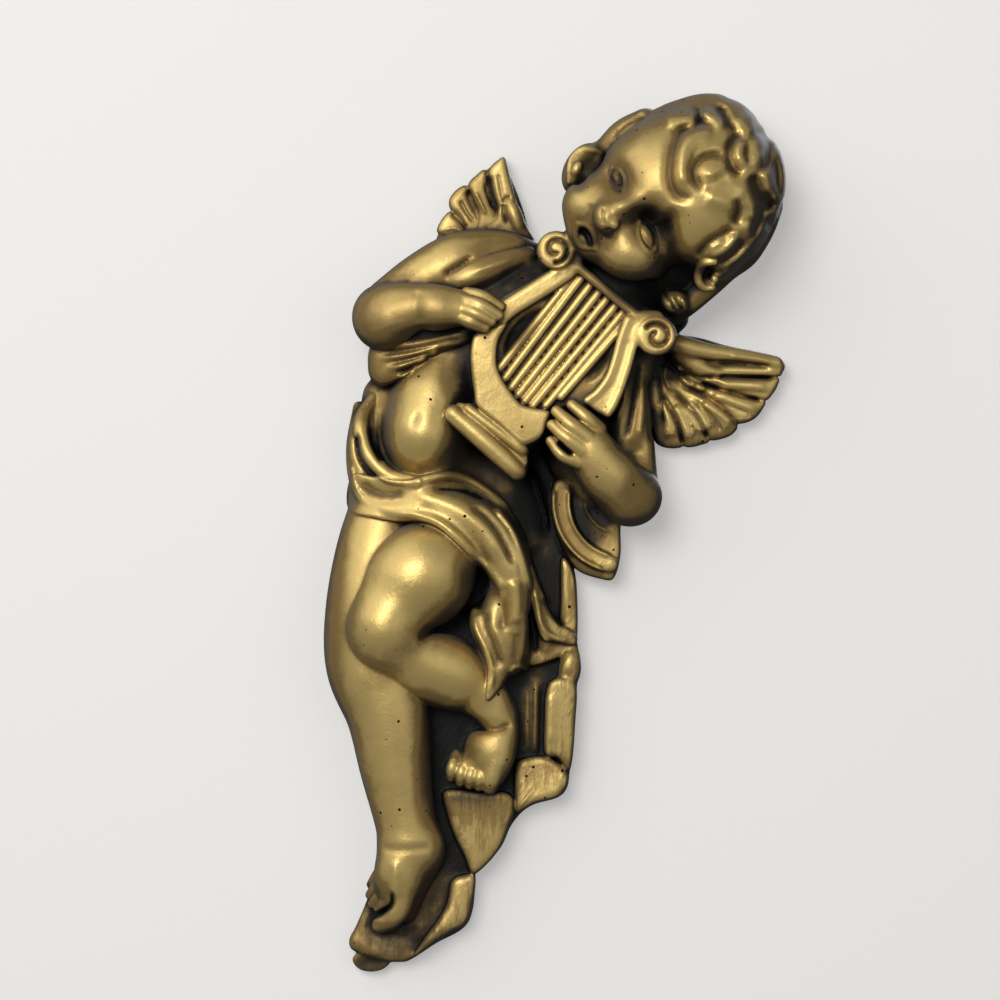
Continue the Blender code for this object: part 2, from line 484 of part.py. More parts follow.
def lyre(clay):
    top = 34.0
    # the plate behind the strings
    clay.slab([(-8, 53), (-9.6, 47), (-9, 39), (-8, 33), (-13, 31.6), (-17.6, 30.4), (-17.6, 27.4),
               (-6, 16.6), (4, 7.6), (8, 8), (9.6, 12), (10.4, 17), (13.4, 20.5), (16.2, 26),
               (22, 31), (30, 30), (36, 28.6), (40.6, 36), (43.4, 46), (46, 56), (45, 62.4),
               (26.6, 77.6), (18, 77), (10, 72.6), (0, 66.6), (-4, 60)], top - 3.9, blend=0.6,
               edge=1, steps=4)
    clay.hollow((7.6, 56.4, top + 1), (4.4, 12.6, 8), 0.8, turn=-40)
    clay.hollow((32.6, 45, top + 1), (3.4, 9.4, 7), 0.8, turn=-34)
    # the left arm of the lyre, its scroll, and the crescent at its foot
    clay.band([(23.6, 87), (25.0, 82.4), (23.2, 77.4), (17, 72.8), (9.4, 68), (2.4, 63.4),
               (-2, 59)], 3.3, top, edge=2.0)
    clay.slab([(-7.6, 56), (-9.8, 50), (-9.6, 43), (-8.6, 36), (-7.4, 31), (0, 24.6), (7, 18.6),
               (11.6, 19.4), (14.4, 22.0), (15.8, 26), (16.6, 29.4), (11.5, 30.6), (7, 32),
               (3.2, 36.6), (0.2, 41.4), (-1.2, 46), (-0.6, 53), (2, 59)], top + 0.9, blend=0.5,
               edge=1.6)
    for centre, radius in (((18.8, 83.2), 6.5), ((52, 54.9), 6.8)):
        turn = np.linspace(0, math.tau, 12, endpoint=False)
        round_outline = zip(centre[0] + radius * np.cos(turn), centre[1] + radius * np.sin(turn))
        clay.slab(list(round_outline), top + 1.6, blend=0.5, edge=2.4)
    clay.band([(42.6, 55), (44.4, 58.6), (48, 60.6), (52, 60.4)], 2.8, top + 0.6, edge=1.6)
    clay.slab([(42, 61.6), (39.6, 55), (37.6, 48), (35.4, 41.6), (31.8, 36.6), (28.4, 33.6),
               (29.2, 31.6), (35.2, 27.8), (38.2, 30), (40.8, 36), (43.4, 43), (45.2, 50),
               (46.6, 56)], top + 0.3, blend=0.4, edge=1.8)
    for points in (((43.0, 60.4), (40.6, 54.6), (38.6, 47.4), (36.4, 41), (32.8, 36), (29.2, 33.2)),
                   ((46.0, 56.6), (44.2, 50), (42.2, 43), (39.8, 36), (37.8, 31.6), (36, 28.8))):
        clay.limb([(x, z, top - 0.3, 1.1) for x, z in points], blend=1.2)
    clay.limb([(26.2, 77.6, top - 1.4, 1.7), (35, 70.2, top - 1.4, 1.6), (45, 62, top - 1.4, 1.7)],
              blend=0.8)
    for x, z, u, w in STRINGS:
        clay.limb([(x, z, top - 3.2, 1.5), (u, w, top - 3.2, 1.45)], blend=0.3, steps=1)
    # the foot: one broad bar and one narrow, below the crescent
    clay.slab([(-10.6, 31.6), (8, 18.4), (9.2, 15), (6.6, 12), (-13, 29.4)], top - 1.2, blend=0.4,
              edge=1)
    narrow, broad = top - 1.6, top - 2.2
    clay.limb([(-10.6, 30.4, narrow, 1.9), (-1.4, 23.4, top - 1.2, 2.0), (7.6, 16.6, narrow, 1.9)],
              blend=0.6)
    clay.limb([(-15.4, 28.6, broad, 3.2), (-4, 18.6, top - 1.6, 3.5), (5.8, 9.6, broad, 3.1)],
              blend=0.6)


def spirals(clay):
    """The grooves that wind into the lyre's scrolls."""
    for centre, radius, start, way in (((18.6, 83.6), 4.7, 255, 1), ((52.4, 54.4), 4.9, 150, -1)):
        turn = np.radians(start + way * np.linspace(0, 430, 15))
        size = np.linspace(radius, 1.0, 15)
        clay.stroke(list(zip(centre[0] + size * np.cos(turn),
                             centre[1] + size * np.sin(turn))), 0.75, -1.5, ends=0.1)


LEFT_FEATHERS = (
    (((-5, 90), (-1, 95), (-2.6, 101), (-3.8, 106), (-3.6, 110.4), (0, 113.8), (1.6, 114), (3, 109),
      (5.4, 100), (9, 91), (10.6, 86)), 10.8),
    (((-8, 89), (-7.4, 95), (-9.4, 100), (-10.6, 105), (-8, 108.2), (-4.8, 110), (-3.4, 104),
      (-1.8, 98), (0, 90)), 9.8),
    (((-12, 88), (-13.4, 94), (-16.6, 97), (-16.8, 100.4), (-14, 103.8), (-10.8, 104.6), (-9.2, 99),
      (-7, 94), (-5, 88)), 9.0),
    (((-14, 86.6), (-20.6, 88.8), (-20, 92.6), (-16.6, 96.2), (-13.2, 94), (-10.6, 90.6),
      (-8, 86)), 9.2),
    (((-21.8, 83.6), (-21, 86.8), (-15, 87), (-8, 86.6), (-6, 82)), 7.6),
)


def left_wing(clay):
    clay.slab([(-20.4, 84), (-19.4, 91), (-15.6, 97.4), (-10, 104.4), (-3.6, 110.6), (2, 111),
               (9.8, 86), (-4, 82)], 8.2, blend=0.5, edge=2)
    for outline, top in LEFT_FEATHERS:
        clay.slab(list(outline), top, blend=0.2, edge=2.4)
    clay.ball((5.0, 94.6, 9.4), (2.6, 6.4, 3.4), 0.3, turn=20)
    clay.limb([(-17, 84.6, 6, 2.6), (-8, 87.0, 6.4, 3), (6, 87.0, 6.4, 3.4)], blend=1.5)


# the cuts and ridges on the feathers: path, width and height
LEFT_CUTS = (
    (((-3.6, 108.6), (-2.6, 102), (-0.4, 95.6)), 1.1, -0.8),
    (((-11.0, 103.6), (-9.6, 99.6), (-7.4, 95.4)), 1.1, -0.8),
    (((-16.4, 95.8), (-13.6, 93.2), (-10.8, 90)), 0.9, -0.7),
    (((-8.4, 103), (-6.4, 99), (-4.6, 95)), 0.5, 0.8),
    (((-13.4, 100), (-11.2, 96), (-8.6, 92.4)), 0.6, -0.9),
    (((-5.2, 106), (-4.0, 101), (-2.2, 96.6)), 0.5, -0.8),
    (((1.0, 99), (1.8, 100.4), (3.6, 101)), 0.6, -0.9),
    (((1.2, 99), (1.2, 96), (2.4, 92)), 0.6, -1.0),
    (((-0.6, 109), (0.4, 103), (1.0, 100)), 0.5, -0.5),
    (((-18.6, 90), (-15, 90.6), (-12, 89)), 0.5, 0.5),
)


def left_quills(clay):
    for path, width, amount in LEFT_CUTS:
        clay.stroke(path, width, amount)


RIGHT_FEATHERS = (
    (((54, 50), (58, 54.6), (66, 54.2), (76, 51.4), (91, 48.2), (94.8, 45.4), (94.2, 42.6),
      (92, 41), (80, 40.6), (70, 41), (60, 43)), 10.4),
    (((60, 44), (72, 43), (82, 42), (92.2, 41), (92.6, 38.4), (90.8, 35.2), (88, 33), (80, 33.4),
      (70, 37)), 9.8),
    (((60, 42), (72, 39), (80, 35.6), (88, 33.4), (87.6, 30.4), (84.4, 26.8), (79, 25.4), (72, 28),
      (62, 35)), 9.2),
    (((56, 41), (66, 37), (74, 30.6), (79, 25.4), (78, 22.4), (74.8, 20.6), (69.6, 20), (64.6, 24),
      (57, 33)), 8.6),
    (((53, 40), (60, 35), (66.6, 26), (69.8, 20.2), (67.2, 18.4), (61.4, 17.8), (57, 23),
      (53, 31)), 8.2),
    (((50, 50), (54, 44), (58, 33), (60, 26), (61.2, 18), (52.6, 18.4), (50, 27)), 7.8),
)


def right_wing(clay):
    clay.slab([(46, 52), (56, 55), (62, 50), (64, 40), (56, 34), (53, 24), (47.6, 26),
               (47, 40)], 7.4, blend=0.5, edge=1.6)
    for outline, top in RIGHT_FEATHERS:
        clay.slab(list(outline), top, blend=0.3, edge=2.8)
    clay.limb([(55, 53, 13, 3.2), (62, 51.2, 13.4, 3.2), (70, 49.4, 12.4, 2.7),
               (80, 48.2, 11.2, 2.2), (92, 45.8, 9.2, 2.0)], blend=0.8)
    clay.limb([(60, 49, 11, 3.0), (65.6, 45, 10.4, 3.0), (72, 41.6, 9.4, 2.4)], blend=1.5)
    clay.ball((66.8, 37.8, 8.6), (2.6, 2.2, 2.6), 1)


RIGHT_CUTS = (
    (((71, 45.4), (80, 45.2), (91, 44.4)), 0.9, -1.3),
    (((66, 41.2), (80, 40.8), (92.4, 40.4)), 0.9, -1.3),
    (((64, 39.8), (78, 35.6), (88.4, 33)), 0.9, -1.3),
    (((60, 38.6), (72, 32.4), (79.6, 25.2)), 0.9, -1.3),
    (((57, 37), (65, 28.6), (70, 19.6)), 0.9, -1.3),
    (((53.4, 36), (58.6, 27), (61.4, 17.6)), 0.9, -1.3),
    (((72, 38.8), (80, 38.4), (90, 37.6)), 2.3, 1.3),
    (((70, 35.4), (78, 32.6), (86, 30)), 2.3, 1.3),
    (((67, 33), (73, 28.4), (77.4, 24.4)), 2.3, 1.3),
    (((62, 33), (66.4, 27), (69.4, 22.6)), 2.3, 1.3),
    (((57.4, 32), (61, 25.6), (64.2, 20.4)), 2.3, 1.3),
    (((53.6, 34), (56, 26), (57, 20)), 2.3, 1.3),
    (((75, 36.6), (84, 36), (90, 35.4)), 0.7, -0.5),
    (((72, 33.2), (79, 30.4), (85, 28)), 0.7, -0.5),
    (((64, 34), (70, 28), (74, 22.6)), 0.7, -0.5),
    (((52, 44), (53.6, 34), (54.4, 24)), 0.7, -0.8),
    (((56, 47), (55, 41), (57, 36)), 0.7, 0.8),
    (((59, 45), (60.6, 41), (64, 37.4)), 0.7, 0.8),
    (((53, 46), (57.6, 44), (62, 40)), 0.7, -0.7),
    (((76, 48), (85, 47.2), (91.6, 45.8)), 0.7, 0.5),
)


def right_quills(clay):
    for path, width, amount in RIGHT_CUTS:
        clay.stroke(path, width, amount)


def sash(clay):
    """The cloth wound round the hips."""
    clay.limb([(-41, 33, 9, 3.6), (-45.0, 25, 12, 4.6), (-45.6, 17, 13, 5.2), (-43, 8, 15, 5.6),
               (-37, 2, 18, 5.6), (-26, 1, 20, 6)], blend=2)
    clay.limb([(-42.4, 34, 12, 1.9), (-46.2, 27, 16, 2.6), (-45.6, 19.4, 19, 2.9),
               (-42, 12.6, 21.6, 2.9), (-36.4, 7.8, 23.6, 2.6), (-28, 6.0, 25, 2.2)], blend=0.8)
    clay.limb([(-47, 31, 9, 2), (-49.0, 18, 11, 2.3), (-47.8, 7, 14, 2.7), (-44, -0.2, 17.4, 3.0),
               (-37, -3.2, 21.4, 3.0), (-28, -2.6, 24.4, 2.6)], blend=0.8)
    clay.limb([(-40.4, 30, 14, 1.0), (-39.8, 21, 16, 1.0), (-38.4, 14.4, 18.4, 1.0),
               (-35, 10, 21, 1.0), (-29, 8.4, 23, 0.9)], blend=0.5)


def sash_folds(clay):
    clay.stroke([(-47, 5.6), (-42.6, 2.4), (-37, 1.4), (-31, 2.6)], 1.8, -3.6)
    clay.stroke([(-47.6, 23), (-47.0, 15), (-43.8, 9.4), (-40, 6.4)], 0.9, -1.6)
    clay.stroke([(-43.4, 25), (-42.2, 18), (-39, 12)], 0.8, -1.2)
    clay.stroke([(-49.8, 12), (-48.2, 5), (-45, 0.4)], 0.6, 0.8)


def drape(clay):
    """The end of the cloth, over the thigh and down between the legs."""
    clay.ball((-15, -7, 18), (17, 9.5, 11), 3, turn=-28)
    clay.limb([(-36, 0, 16, 6), (-18, -3, 21, 6), (-6, -9, 22, 6.4), (1, -19, 22, 6),
               (4.4, -30, 20, 5.4), (4.6, -42, 18, 5), (3.2, -54, 16, 4.4)], blend=3)
    clay.limb([(0, -30, 16, 4), (-1.4, -37, 17, 4.6), (-2.4, -43, 18.5, 4.4), (0.4, -51, 18.6, 4.2),
               (-0.6, -58, 18, 3), (-2.6, -63.6, 17, 1.8)], blend=2)
    clay.limb([(-9, -22, 2, 7), (-9, -34, 2, 7)], blend=2)
    clay.limb([(-8.4, -38, 16, 2.2), (-7.4, -44, 18, 2.2), (-4.2, -51, 18.6, 2.0),
               (-3.2, -58, 17.6, 1.6)], blend=2)
    clay.slab([(8, -16), (11, -22), (13.6, -30), (17, -37), (22, -44), (22.6, -50), (17, -53.6),
               (9, -55), (6, -48), (6, -30)], 10.5, blend=1.5, edge=2)
    clay.cover([(-50.6, -3), (-42, -6), (-34, -7.2), (-27, -6.6), (-21, -8.4), (-14.4, -14),
                (-7.8, -21), (-3.6, -27.6), (-4.6, -32), (-9.6, -36.6), (-9.6, -42), (-6.4, -49),
                (-4.2, -57), (-4.6, -66.8), (0, -63), (3.6, -58), (6, -56.2), (9.4, -56.6),
                (9.6, -50), (9.6, -40), (10.2, -28), (9, -14), (4, -4), (-3, 2), (-10, 6.6),
                (-17, 8.6), (-25, 7.4), (-34, 6.6), (-43, 8), (-49.6, 8)], 1.4, slack=2.5,
                blend=0.5, edge=1.4)
    clay.slab([(10.4, -22), (13.4, -29), (16.6, -35.6), (20, -41), (25, -44.6), (25, -48.2),
               (20, -47.4), (14.6, -45.6), (12.4, -41), (10.6, -33)], 17.0, blend=0.8, edge=1.6,
              shape=lambda x, z, inside: -0.35 * (x - 15))
    clay.limb([(22.6, -60.6, 8, 3.0), (23.2, -57, 9.4, 3.7), (23.6, -53.2, 9.4, 3.2),
               (24, -49.4, 8.4, 2.0)], blend=1.5)


FOLDS = (
    (((-30, 5.2), (-24, 6.8), (-17, 8.0), (-11, 6.8), (-5, 3.2), (0, -0.8), (4, -5)), 1.7, 2.3),
    (((-23, 3.6), (-15, 3.2), (-9, 1.6), (-3, -1.6), (0.6, -5)), 1.1, -1.9),
    (((-9, 0.6), (-3.4, -1.6), (1.2, -5.6), (4.8, -11), (7.4, -18), (9.2, -25),
      (11, -33)), 1.5, 2.1),
    (((-11, -1.8), (-5.8, -4.8), (-1.4, -9.6), (2.2, -16), (4.8, -23)), 1.3, -1.5),
    (((-31, 1.2), (-22, 0.8), (-14, -2.2), (-8, -7.4), (-3.6, -14), (-0.6, -22)), 3.0, 1.2),
    (((-38, -6.0), (-29.4, -5.2), (-21.8, -6.8), (-15, -11.2), (-8.6, -17.6), (-2.8, -24.8),
      (0.4, -30.6), (1.2, -37)), 1.6, 2.0),
    (((4.6, -26), (5.4, -34), (5.2, -42)), 2.2, 1.3),
    (((0.6, -28), (1.4, -36), (0.8, -44)), 1.8, -1.2),
    (((-8.6, -37), (-8.0, -43), (-4.6, -50), (-2.6, -57), (-3.4, -65.4)), 0.9, 1.2),
    (((-4.4, -36), (-4.8, -42), (-1.8, -49), (0.6, -57)), 1.7, -1.5),
    (((8.0, -36), (8.2, -45), (7.8, -54)), 1.1, 0.8),
    (((5.6, -44), (5.4, -50), (4.8, -54)), 1.1, -0.8),
    (((3.4, -58), (5.2, -55.8), (9.2, -55.8)), 0.8, 1.0),
    (((11.2, -26), (12.4, -34), (14.0, -42), (18, -45.6), (24, -47.2)), 0.9, 1.2),
    (((14.4, -32), (17, -38), (22, -43)), 0.9, -0.8),
    (((11.4, -30), (13, -38), (15, -46), (15.6, -52)), 1.6, 1.0),
    (((9.6, -36), (11.4, -44), (12, -52)), 1.2, -1.2),
)


def folds(clay):
    for path, width, amount in FOLDS:
        clay.stroke(path, width, amount)


def neck(clay):
    clay.limb([(34, 62, 8, 12), (46, 70, 10, 12), (56, 80, 14, 14)], blend=4)
    clay.ball((56, 61, 6), (7, 6, 10), 3)
    clay.limb([(25, 81, 12, 5), (31, 77, 15, 6), (40, 71, 15, 7)], blend=3)


def head(clay):
    clay.ball((64.4, 101.8, 25), (27.6, 32.4, 31.5), 4, turn=-30)
    clay.limb([(53, 126.4, 27, 4), (60, 128.4, 29, 4.6), (69, 129.6, 27, 4.6), (77, 127, 27, 4.6)],
              blend=3)
    clay.ball((42.6, 96, 27), (20.4, 18.6, 24.4), 8, turn=40)
    clay.ball((53.2, 107.8, 36.6), (18.6, 17.6, 18), 9, turn=40)
    clay.ball((43.6, 83.4, 39), (12.2, 10.2, 13), 5, turn=-12)
    clay.ball((29.8, 98.0, 35.4), (9.2, 9.0, 11), 5)
    clay.ball((29.2, 90, 35), (7.4, 7.8, 9.4), 4)
    clay.ball((31, 84.6, 33), (6.6, 5.2, 8), 4, turn=-30)


def face(clay):
    # the hollows: each socket under its brow, the temple's foot, and round the mouth
    clay.push((39.6, 106.4), (4.6, 6.4), -4.2, turn=27)
    clay.push((50.4, 93.6), (7.4, 5.6), -3.6, turn=6)
    clay.push((48.4, 95.0), (4.0, 2.8), -2.2, turn=0)
    clay.push((50.6, 88.4), (4.2, 7.0), -3.4, turn=26)
    clay.stroke([(53.4, 97), (55.8, 91.6), (57.4, 85), (58.6, 78), (63, 73)], 4.6, -3.8, ends=0.4)
    clay.push((61.5, 75.6), (8.5, 5.4), -4.4, turn=20)
    clay.push((28.6, 87.6), (4.6, 6.8), -3.2, turn=29)
    clay.stroke([(31.4, 99.4), (30.4, 96), (30.8, 92)], 2.2, -0.8, ends=0.7)
    clay.stroke([(36.4, 89.2), (36.0, 86), (33.8, 82)], 2.2, -0.7, ends=0.7)
    # the eyes, with a lid on each side
    clay.ball((39.3, 107.1, clay.front(39.3, 107.1) - 0.4), (1.7, 2.9, 2.6), 0.5, turn=27)
    clay.ball((48.9, 87.9, clay.front(48.9, 87.9) - 0.2), (2.1, 4.4, 3.2), 0.5, turn=24)
    clay.lay([(46.6, 92.8), (49.4, 92.0), (51.6, 88.4), (51.9, 83.8)], 0.8, sink=0.1, blend=0.7)
    clay.lay([(46.6, 92.8), (46.1, 89.2), (47.6, 84.8), (50.4, 82.6), (51.9, 83.8)], 0.7, sink=0.1,
             blend=0.7)
    clay.lay([(37.2, 110.6), (39.8, 110.0), (41.6, 107), (41.8, 103.6)], 0.75, sink=0.1, blend=0.6)
    clay.lay([(37.2, 110.6), (36.8, 107.4), (38.4, 104.4), (41.8, 103.6)], 0.65, sink=0.1,
             blend=0.6)
    # the nose: its bridge, tip and near wing
    clay.push((41.4, 98.6), (5.4, 4.2), 3.6, turn=28)
    clay.push((36.4, 95.0), (5.6, 5.6), 2.2, turn=28)
    clay.ball((35.4, 94.2, clay.front(35.4, 94.2) - 1.8), (4.2, 5.2, 4.8), 2.0, turn=10)
    clay.ball((38.0, 92.0, clay.front(38.0, 92.0) - 0.6), (1.8, 2.0, 1.8), 1.0)
    clay.stroke([(34.9, 97.8), (34.4, 94.6), (34.6, 91.4)], 0.6, -0.7, ends=0.4)
    clay.hollow((36.2, 89.9, clay.front(36.2, 89.9) + 0.4), (1.1, 0.8, 1.3), 0.5)
    # the open mouth
    clay.lay([(26.2, 92.0), (29.2, 91.6), (31.4, 88.4), (31.8, 84.2)], 1.0, sink=0.4, blend=0.9)
    clay.lay([(26.2, 92.0), (25.4, 88.4), (27.2, 84.8), (31.8, 83.8)], 1.1, sink=0.3, blend=0.9)
    clay.hollow((28.7, 87.7, clay.front(28.7, 87.7) + 0.5), (1.9, 3.4, 2.4), 0.8, turn=27)
    clay.ball((27.9, 87.0, clay.front(27.9, 87.0) + 0.1), (1.1, 2.3, 1.4), 0.5, turn=27)


def ears(clay):
    clay.ball((28.0, 110.2, 15), (6.6, 9.6, 12), 1.5, turn=-30)
    clay.push((29.6, 112.4), (2.8, 4.0), -4.2, turn=-40)
    clay.push((27.0, 106.6), (1.8, 2.6), -2.4, turn=-30)
    clay.lay([(23.0, 106.0), (23.8, 113.0), (28.0, 117), (33.6, 115.8)], 1.3, sink=0, blend=0.5)
    clay.ball((25.6, 110.6, clay.front(25.6, 110.6)), (1.7, 2.6, 1.8), 0.8, turn=-30)
    clay.ball((69.2, 75, clay.front(69.2, 75) - 1.4), (4.2, 4.8, 3.6), 1.0)
    clay.push((69.4, 75.2), (1.9, 2.4), -3.8)
    clay.lay([(71.4, 79.4), (68.0, 79.0), (66.2, 76), (66.2, 73), (68, 70.9), (70.6, 70.8)], 1.5,
             sink=-0.5, blend=0.4, ends=0.8)
    clay.ball((71.6, 73.8, clay.front(71.6, 73.8)), (1.3, 1.7, 1.6), 0.6)


# each curl and lock: its path, width and height (under 0 for what is cut in)
HAIR = (
    (((72, 122.6), (66, 121.6), (62, 118.4), (60.4, 113), (60.4, 107.6), (62, 104)), 3.0, 1.7),
    (((74, 126), (67.6, 125.6), (61.6, 123.6), (58.2, 118.4), (56.9, 112), (57, 106), (58.8, 102),
      (62, 101), (65.4, 102.8)), 1.9, -2.5),
    (((72, 118.6), (66.6, 117.6), (63.6, 113.6), (62.6, 108.6)), 0.6, -0.7),
    (((75.6, 114.4), (70.4, 115), (66.4, 113), (64.6, 109.6), (65.6, 105.8),
      (68.4, 103)), 1.6, -2.6),
    (((76, 111.8), (72, 110.4), (69, 107.4)), 1.6, 1.5),
    (((76.4, 107.6), (72, 105.6), (69, 103.2)), 1.5, -1.0),
    (((68.6, 101.6), (73, 99.6), (78, 98.6), (81.6, 101)), 2.6, 1.2),
    (((81, 123.4), (77.2, 119.4), (76.2, 114.6), (78.0, 110.4), (81.6, 107.8)), 1.6, -2.8),
    (((80.6, 120), (80.0, 115.4), (81.2, 111)), 1.5, 1.6),
    (((84.8, 120.6), (85.8, 116), (84.4, 111)), 1.6, 1.1),
    (((82.9, 119), (82.6, 115), (83.4, 111.8)), 0.8, -0.8),
    (((84, 124), (88.2, 121), (89.4, 116), (88.4, 111), (85.8, 108.4)), 1.2, -1.4),
    (((83.6, 108.6), (86, 104.4), (88.4, 100.6), (90.4, 96)), 2.0, -2.6),
    (((88, 111), (90, 105), (92.4, 98.6)), 1.6, 1.1),
    (((80.4, 106), (82, 101), (84, 96.6), (84.2, 92.6)), 2.0, 1.4),
    (((79.2, 101), (79.6, 96), (78.0, 91.4)), 1.6, -1.9),
    (((87, 98), (86.6, 92.4), (84, 87.2)), 1.5, -1.7),
    (((82.0, 92.4), (83.2, 90), (83.6, 87.4)), 1.5, 1.0),
    (((79, 89), (77.2, 85.4), (73.6, 82.4), (69.4, 81.4)), 1.2, 1.7),
    (((81.4, 86.4), (78, 81.8), (73, 78.8)), 1.2, -1.5),
    (((78.6, 91), (74, 88.4), (69, 85.2), (65, 80.6)), 1.6, -1.5),
    (((74.6, 86.6), (72, 84.8), (69.4, 83.6)), 0.9, 0.8),
    (((54.6, 126.4), (60, 127.4), (66, 125.4)), 3.2, 1.4),
    (((67, 128.6), (70.6, 127.2), (75, 124.6)), 2.0, 1.6),
    (((56, 122.8), (60.6, 123.4), (65.4, 122.6)), 1.3, -0.9),
    (((65.6, 131), (66.2, 127.8), (67.6, 125.8)), 1.2, -1.5),
    (((73.4, 131.6), (75.4, 127), (79, 122.6)), 1.5, -1.7),
    (((79.6, 128.4), (82.4, 124.8), (85, 122.8)), 1.8, 0.9),
    (((83, 128), (90, 121), (92.8, 111), (92.4, 101)), 1.4, -0.8),
    (((90.4, 121.6), (94, 111), (93.8, 101)), 1.4, 0.7),
    (((91, 95.4), (87.4, 87), (81.6, 80.6), (75.6, 76)), 1.4, -1.2),
    (((88.6, 94), (84.4, 85.4), (79, 80.4), (74.6, 77.6)), 1.4, 0.8),
    (((85, 81.6), (79, 75.6), (72, 70.6), (66, 67)), 1.2, -0.9),
    (((80.6, 79), (75.6, 75), (72, 72)), 1.2, 0.7),
    (((68, 119.6), (73, 120.4), (77, 123)), 0.7, -0.5),
    (((88, 108), (90.4, 102), (90.6, 97)), 0.6, -0.6),
    (((81, 103), (82.4, 98.6), (82.6, 94.6)), 0.6, -0.6),
    (((62, 129.4), (68, 131.6), (75, 130.4)), 1.0, -0.6),
    (((70, 134), (79, 132), (86, 126)), 1.8, 0.7),
    (((74, 135), (82, 131.6), (88.6, 125)), 1.0, -0.7),
    (((86, 117), (88.4, 109), (88.6, 101)), 1.8, 0.8),
    (((91.6, 118), (95, 108), (94.6, 99)), 1.6, 0.7),
    (((89, 92), (84.6, 83.6), (78, 77.4)), 1.8, 0.7),
)


def hair(clay):
    clay.fill([(60, 131), (58.6, 124), (58.4, 115), (58.4, 107), (60.6, 102.4), (66, 103.6),
               (70.6, 99.8), (77, 98.8), (81, 98), (80.6, 92), (77, 87), (72, 82.6), (67, 77),
               (70, 66), (84, 72), (96, 86), (102, 104), (98, 122), (84, 136), (70, 142)], 1.3,
               edge=6.5)
    for path, width, amount in HAIR:
        clay.stroke(path, width, amount, ends=0.3)
    for x, z in ((80.4, 112.6), (75.6, 127.8)):
        clay.push((x, z), (0.8, 0.8), -1.1)
    clay.soften(0.6)


def low_locks(clay):
    """The locks above the far ear and along the nape."""
    clay.limb([(36.4, 116, 13, 5.4), (42, 121.4, 15, 5.8), (48.6, 125.2, 17, 5.4)], blend=2)
    clay.limb([(42, 122, 18, 3.6), (48.4, 126.4, 20, 3.8)], blend=1)
    clay.stroke([(37, 120), (42, 125), (49, 128.4)], 0.7, -0.8)
    clay.limb([(89.2, 98, 20, 5), (87.0, 91.6, 20, 5), (83.6, 85.4, 21, 5), (80.6, 81.6, 22, 5),
               (75.2, 77.8, 21, 5), (69.4, 72.6, 20, 5), (62.8, 66.8, 19, 4.8),
               (58.4, 62.6, 18, 4)], blend=2)
    clay.ball((58.2, 66, 24), (4.8, 4.4, 6), 1.6)
    for i in range(4):
        clay.stroke([(55 + 1.8 * i, 69.4 - 0.6 * i), (56.4 + 1.6 * i, 66),
                     (58.6 + 1.2 * i, 63)], 0.6, 0.7 if i % 2 else -0.8)


def core(clay):
    """Fills what the deepest dents leave hollow inside, well behind the front."""
    for x, z, radius, top in ((50.6, 94.0, 6, 14), (34.6, 111.4, 5, 13), (69.4, 75.2, 5, 34),
                              (85.2, 41.8, 3.6, 6.8), (88.8, 41.2, 3, 6.6), (14.0, 20.4, 4, 9),
                              (18.2, 7.8, 3, 7)):
        clay.ball((x, z, 0), (radius, radius, top), 0.3)


def sculpt(grain):
    clay = Clay(grain)
    clay.group((backing, stub), soft=0.4)
    clay.group((left_wing,), soft=0.2, finish=(left_quills,))
    clay.group((right_wing,), soft=0.2, finish=(right_quills,))
    clay.group((torso,), soft=1.0, blend=1.5, finish=(arm_folds,))
    clay.group((cape,), soft=0.3, finish=(cape_hems,))
    clay.group((shoulder,), soft=0.5, blend=0.8, finish=(shoulder_folds,))
    clay.group((neck,), soft=0.8, blend=2)
    clay.group((standing_leg,), soft=0.8, blend=1, finish=(standing_toes,))
    clay.group((sleeve,), soft=0.4, finish=(sleeve_folds,))
    clay.group((head,), soft=0.8, finish=(hair, face, ears, low_locks))
    clay.group((sash,), soft=0.3, finish=(sash_folds,))
    clay.group((crossed_leg,), soft=0.8, finish=(crossed_toes,))
    drape(clay)
    folds(clay)
    clay.stroke([(10.8, 10), (13, 3), (15, -4), (16, -11)], 0.5, 1.6)
    clay.group((lyre, spirals), soft=0.2)
    clay.group((right_arm,), soft=0.7, finish=(right_fingers,))
    clay.group((left_arm,), soft=0.7, finish=(left_fingers,))
    core(clay)
    # the sides run back to the wall, a little inside the front's outline
    behind = np.minimum.accumulate(clay.field[:, :, ::-1], axis=2)[:, :, ::-1]
    clay.field = smooth_min(clay.field, behind + 1.2, 1.5)
    clay.field = np.maximum(clay.field, -clay.axes[2][None, None, :])
    return clay


def surface(clay):
    """The clay's skin as points and faces, in the carver's frame."""
    band = 3 * clay.grain
    grid = openvdb.FloatGrid(band)
    grid.copyFromArray(np.clip(clay.field, -band, band))
    points, _, quads = grid.convertToPolygons(isovalue=0.0, adaptivity=0.0)
    points = points.astype(np.float64) * clay.grain + np.array(LOW)
    return points, quads


def hung(points):
    """Carver's points to metres in the plaque's own frame: +Z up, the wall's face at y = 0."""
    x, z, h = points.T
    draw = (EYE_DISTANCE - h) / (EYE_DISTANCE - EYE_HEIGHT)
    x, z = x * draw - MOUNT[0], z * draw - MOUNT[1]
    c, s = math.cos(math.radians(LEAN)), math.sin(math.radians(LEAN))
    return np.column_stack([x * c - z * s, -np.maximum(h, 0), x * s + z * c]) / 1000


